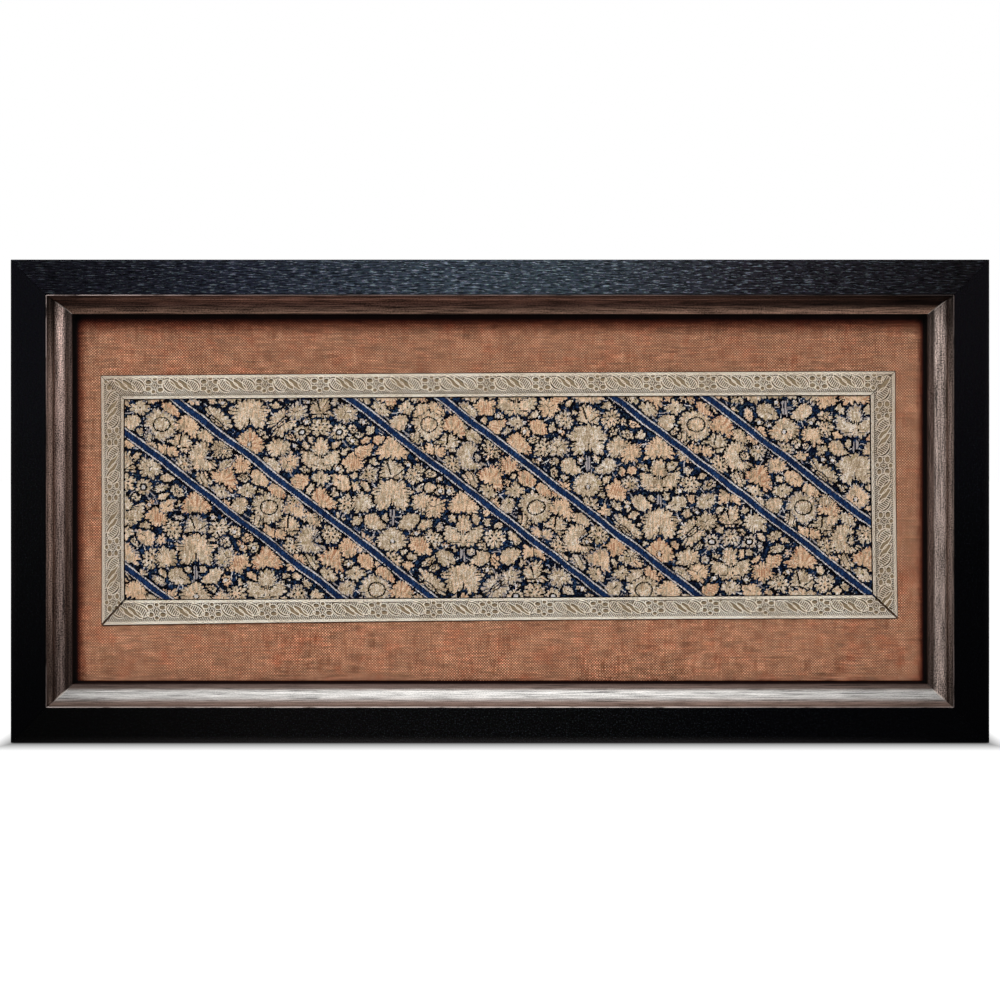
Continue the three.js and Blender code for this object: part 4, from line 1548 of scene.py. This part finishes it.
def gimpLines(shift):
    form, repeat = gimpForm, braidForm["repeat"]
    lines = [(loop(x, y, a, b, 0), form["cord"]) for x, y, a, b in form["petals"][:-1]]
    lines.append((loop(*form["petals"][-1], 0, steps=6), form["fine"]))
    for x, y in form["hollows"]:
        lines += [(lens(x, y, *form["hollow"], sign), form["cord"]) for sign in (-1, 1)]
    for x, y, a, b, turn, side in form["leaves"]:
        lines.append((loop(x, y, a, b, turn, steps=12), form["cord"]))
        first = 10 if side > 0 else 190
        lines.append((loop(x, y, a + 0.9, b + form["crescent"], turn, first, first + 160), form["cord"]))
    # slanting hatching over the ground, and a wider one inside the leaves
    low, high = form["field"][0] - 10 - shift, form["field"][1] - 10 - shift
    slope = 1 / math.tan(math.radians(form["hatchLean"]))
    levels = np.arange(low, high + 0.01, 0.45)
    for wanted, spacing, girth in ((0, form["hatch"], form["fine"]),
                                   (1, form["leafHatch"], form["fine"] * 1.15)):
        for start in np.arange(-repeat / 2, repeat / 2, spacing):
            shown = patternAt(start + levels * slope, levels) == wanted
            turns = np.flatnonzero(np.diff(np.concatenate(([False], shown, [False]))))
            for first, last in zip(turns[::2], turns[1::2] - 1):
                if last > first:
                    ends = levels[[first, last]]
                    lines.append((np.stack((start + ends * slope, ends), 1), girth))
    lines = [(line + (0, 10 + shift), girth) for line, girth in lines]
    for level in form["edges"]:
        edge = np.linspace(-repeat / 2, repeat / 2, 20)
        beads = level + 0.12 * np.sin(edge * 2 * math.pi * 9 / repeat + level * 3)
        lines.append((np.stack((edge, beads), 1), form["fine"] * 1.1))
    return lines


def gimpCarrier(name, lines, start):
    points, edges, girths = [], [], []
    for line, girth in lines:
        k = len(points)
        points += [((start - x) * mm, y * mm, 0.0) for x, y in line]
        girths += [girth] * len(line)
        edges += [(k + n, k + n + 1) for n in range(len(line) - 1)]
    mesh = bpy.data.meshes.new(name)
    mesh.from_pydata(points, edges, [])
    addAttribute(mesh, "girth", "FLOAT", girths)
    return newPiece(name, mesh)


def gimpTree():
    inputs = [("Lines", "Geometry"), ("Thread Radius", "Float", braidForm["gimp"] * mm),
              ("Repeat Length", "Float", braidForm["repeat"] * mm), ("Repeats", "Int", 3),
              ("Thread", "Material")]
    tree, start, end = newGroup("gimpRun", inputs, [("Gimp", "Geometry")], "GeometryNodeTree")
    strand = feed(tree, "GeometryNodeMeshToCurve", (("Mesh", start["Lines"]),)).outputs[0]
    thin = (("Resolution", 4), ("Radius", start["Thread Radius"]))
    section = feed(tree, "GeometryNodeCurvePrimitiveCircle", thin).outputs[0]
    pairs = (("Curve", strand), ("Scale", namedField(tree, "girth", "FLOAT")), ("Profile Curve", section))
    tube = feed(tree, "GeometryNodeCurveToMesh", pairs).outputs[0]
    offset = feed(tree, "ShaderNodeCombineXYZ", ((0, start["Repeat Length"]),)).outputs[0]
    places = feed(tree, "GeometryNodeMeshLine",
                  (("Count", start["Repeats"]), ("Offset", offset))).outputs[0]
    laid = feed(tree, "GeometryNodeInstanceOnPoints", (("Points", places), ("Instance", tube))).outputs[0]
    join(realAndWorn(tree, laid, start["Thread"]), end["Gimp"])
    return tree


def braidBand():
    finish = {"ground": srgb(70, 57, 43), "leaf": srgb(96, 80, 62), "hollow": srgb(136, 118, 94),
              "shadow": srgb(62, 47, 34), "deep": srgb(34, 24, 17), "edgeShadow": srgb(26, 17, 13),
              "outerEdge": (0.8 * mm, 0.4 * mm), "innerEdge": (19.2 * mm, 19.5 * mm),
              "slit": (0.8 * mm, 0.3 * mm)}
    material, tree, shader = newMaterial("braidBand", 0.8, 0.0, 0.05)
    place = objectVector(tree)
    split = axes(runVector(tree))
    sunkAndShaded = mathNode("DIVIDE", split["Z"], 3.0)
    # the shadow and deep tones are painted shadow under the hollows' upper rims
    colour = ramp(sunkAndShaded, [(0.12, finish["ground"]), (0.33, finish["leaf"]), (0.5, finish["leaf"]),
                         (0.64, finish["hollow"]), (0.72, finish["hollow"]), (0.85, finish["shadow"]),
                         (1.0, finish["deep"])])
    patches = maskBetween(noiseAt(place, 1100, 3, 0.7), 0.3, 0.7)
    colour = tinted(colour, plus(0.6, times(patches, 0.8)))
    # painted shadow along the turned edges and in the slit mitres
    outer = maskBetween(split["Y"], *finish["outerEdge"])
    inner = maskBetween(split["Y"], *finish["innerEdge"])
    mitre = maskBetween(split["X"], *finish["slit"])
    edgeShaded = mathNode("MAXIMUM", times(outer, 0.7), mathNode("MAXIMUM", inner, mitre))
    colour = blend(edgeShaded, colour, finish["edgeShadow"])
    weave = useGroup(plainWeave, place, Threads=2200.0)
    finishWith(shader, colour, weave["Height"], 0.3, 0.00015)
    return material


def silverGimp():
    finish = {"dull": srgb(98, 83, 66), "body": srgb(245, 230, 207), "bright": srgb(255, 251, 240),
              "tarnish": srgb(176, 150, 126), "uprights": (0.288, 0.302), "upper": (-0.04, 0.09)}
    material, tree, shader = newMaterial("silverGimp", 0.5, 0.0, 0.1)
    place = objectVector(tree)
    broad = noiseAt(place, 45, 4, 0.6)
    twist = noiseAt(place, 1050, 3, 0.75)
    shade = plus(times(broad, 0.25), times(twist, 0.75))
    colour = ramp(shade, [(0.36, finish["dull"]), (0.45, finish["body"]), (0.56, finish["bright"])])
    # the two upright lengths are more tarnished, and the top a little
    split = axes(place)
    upright = maskBetween(mathNode("ABSOLUTE", split["X"]), *finish["uprights"])
    upper = maskBetween(split["Z"], *finish["upper"])
    colour = blend(plus(times(upright, 0.33), times(upper, 0.15)), colour, finish["tarnish"])
    finishWith(shader, colour, twist, 0.5, 0.00012)
    return material


def cutToMitres(mesh, outer, inset, gaps):
    work = bmesh.new()
    work.from_mesh(mesh)
    w = braidForm["width"]
    for x, normal in ((gaps[0], (-w, inset)), (outer - gaps[1], (w, inset))):
        bmesh.ops.bisect_plane(work, geom=work.verts[:] + work.edges[:] + work.faces[:], dist=1e-7,
                               plane_co=(x * mm, 0, 0), plane_no=(normal[0], normal[1], 0),
                               clear_outer=True)
    work.to_mesh(mesh)
    work.free()


def layAlong(mesh, side, outer, inset):
    spots = pointsOf(mesh).astype(float) / mm
    across = np.clip(spots[:, 1] / braidForm["width"], -0.01, 1.01)
    flat = braidPoint(side, (spots[:, 0] - inset * across) / (outer - 2 * inset * across), across)
    depth = stepped(bandTop, across * braidForm["width"]) - spots[:, 2] - 0.06
    laid = np.stack((flat[:, 0], depth, flat[:, 1]), 1) * mm
    laid[:, 1] += frontY
    mesh.vertices.foreach_set("co", laid.astype(np.float32).ravel())
    mesh.update()


gimpField, bandFinish, gimpFinish = gimpTree(), braidBand(), silverGimp()
braidMap = ((clothLow[0] - 0.02, clothLow[2] - 0.02), clothHigh[0] - clothLow[0] + 0.04)
for side in braidForm["lengths"]:
    outer, inner = edgeLength(side, 0.0), edgeLength(side, 1.0)
    inset = (outer - inner) / 2
    mesh = bandMesh(side)
    smoothShade(mesh, 50)
    flatMap(mesh, *braidMap)
    mesh.materials.append(bandFinish)
    band = newPiece(f"braid_{side}_band", mesh)
    carrier = gimpCarrier(f"gimp_{side}_lines", gimpLines(gimpForm["shift"][side]),
                          gimpForm["start"][side] - braidForm["repeat"])
    repeats = int(math.ceil((outer + 70) / braidForm["repeat"]))
    gimpMesh = realized(carrier, gimpField, f"braid_{side}_gimp", Repeats=repeats, Thread=gimpFinish)
    slits = [gimpForm["slit"][corner] for corner in braidForm["lengths"][side][:2]]
    cutToMitres(gimpMesh, outer, inset, slits)
    layAlong(gimpMesh, side, outer, inset)
    smoothShade(gimpMesh)
    flatMap(gimpMesh, *braidMap)
    gimp = newPiece(f"braid_{side}_gimp", gimpMesh)
    for piece in (band, gimp):
        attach(piece, "root")
    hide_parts(f"braid_{side}")
    print("braid", side, len(gimpMesh.polygons))


# ---------- floor, light and camera

def paleFloor():
    material, tree, shader = newMaterial("paleFloor", 0.9, 0.0, 0.1)
    shader.inputs["Base Color"].default_value = (0.9, 0.9, 0.9, 1)
    seen = times(addNode(tree, "ShaderNodeLightPath").outputs["Is Camera Ray"], 0.85)
    # a soft shadow where the frame stands, fading out within a finger's width of it
    split = axes(objectVector(tree))
    reach = mathNode("MAXIMUM", minus(mathNode("ABSOLUTE", split["X"]), -frameBox[0][0]),
                     minus(mathNode("ABSOLUTE", split["Y"]), -frontY))
    lit = mathNode("POWER", maskBetween(reach, *stageForm["shadow"]), 0.85)
    glow = feed(tree, "ShaderNodeEmission", (("Strength", plus(times(lit, 1.08), 0.10)),))
    mixer = feed(tree, "ShaderNodeMixShader", ((0, seen), (1, shader.outputs[0]), (2, glow.outputs[0])))
    join(mixer.outputs[0], tree.nodes["Material Output"].inputs["Surface"])
    return material


def areaLight(name, place, size, energy):
    # a rectangle of light turned to the middle of the frame
    lamp = bpy.data.lights.new(name, "AREA")
    lamp.shape = "RECTANGLE"
    lamp.size, lamp.size_y = size
    lamp.energy = energy
    light = newPiece(name, lamp)
    light.location = place
    light.rotation_euler = (-Vector(place)).to_track_quat("-Z", "Y").to_euler()


stageForm = {
    "floorSize": 6.0, "under": 0.0005, "shadow": (-0.002, 0.016), "worldLight": 0.07,
    "key": {"place": (-0.12, -1.46, 1.42), "size": (1.3, 0.9), "energy": 39.0},
    "fill": {"place": (1.3, -1.6, 0.5), "size": (1.2, 1.2), "energy": 1.2},
    "camera": {"place": (0, -0.719, 0.0624), "lens": 32.55, "sensor": 36, "rise": -0.079},
}
scene = bpy.context.scene
half = stageForm["floorSize"] / 2
floorZ = frameBox[0][2] - stageForm["under"]
corners = [(x * half, y * half, floorZ) for x, y in ((-1, -1), (1, -1), (1, 1), (-1, 1))]
floorMesh = newMesh("floor", corners, [(0, 1, 2, 3)])
floorMesh.materials.append(paleFloor())
floor = newPiece("floor", floorMesh)

world = bpy.data.worlds.new("studio")
world.use_nodes = True
scene.world = world
tree = world.node_tree
background = tree.nodes["Background"]
background.inputs["Color"].default_value = (1, 1, 1, 1)
path = addNode(tree, "ShaderNodeLightPath")
direct, glossy, through = (path.outputs[f"Is {ray} Ray"] for ray in ("Camera", "Glossy", "Transmission"))
seen = mathNode("MAXIMUM", direct, mathNode("MAXIMUM", glossy, through))
level = plus(stageForm["worldLight"], times(seen, 1 - stageForm["worldLight"]))
join(level, background.inputs["Strength"])
areaLight("keyLight", **stageForm["key"])
areaLight("fillLight", **stageForm["fill"])

view = stageForm["camera"]
cameraData = bpy.data.cameras.new("frontView")
cameraData.lens = view["lens"]
cameraData.sensor_width = view["sensor"]
cameraData.shift_y = view["rise"]
camera = newPiece("frontView", cameraData)
camera.location = view["place"]
camera.rotation_euler = (math.pi / 2, 0, 0)
scene.camera = camera
scene.view_settings.view_transform = "Standard"
print("stage, lights and camera ready")
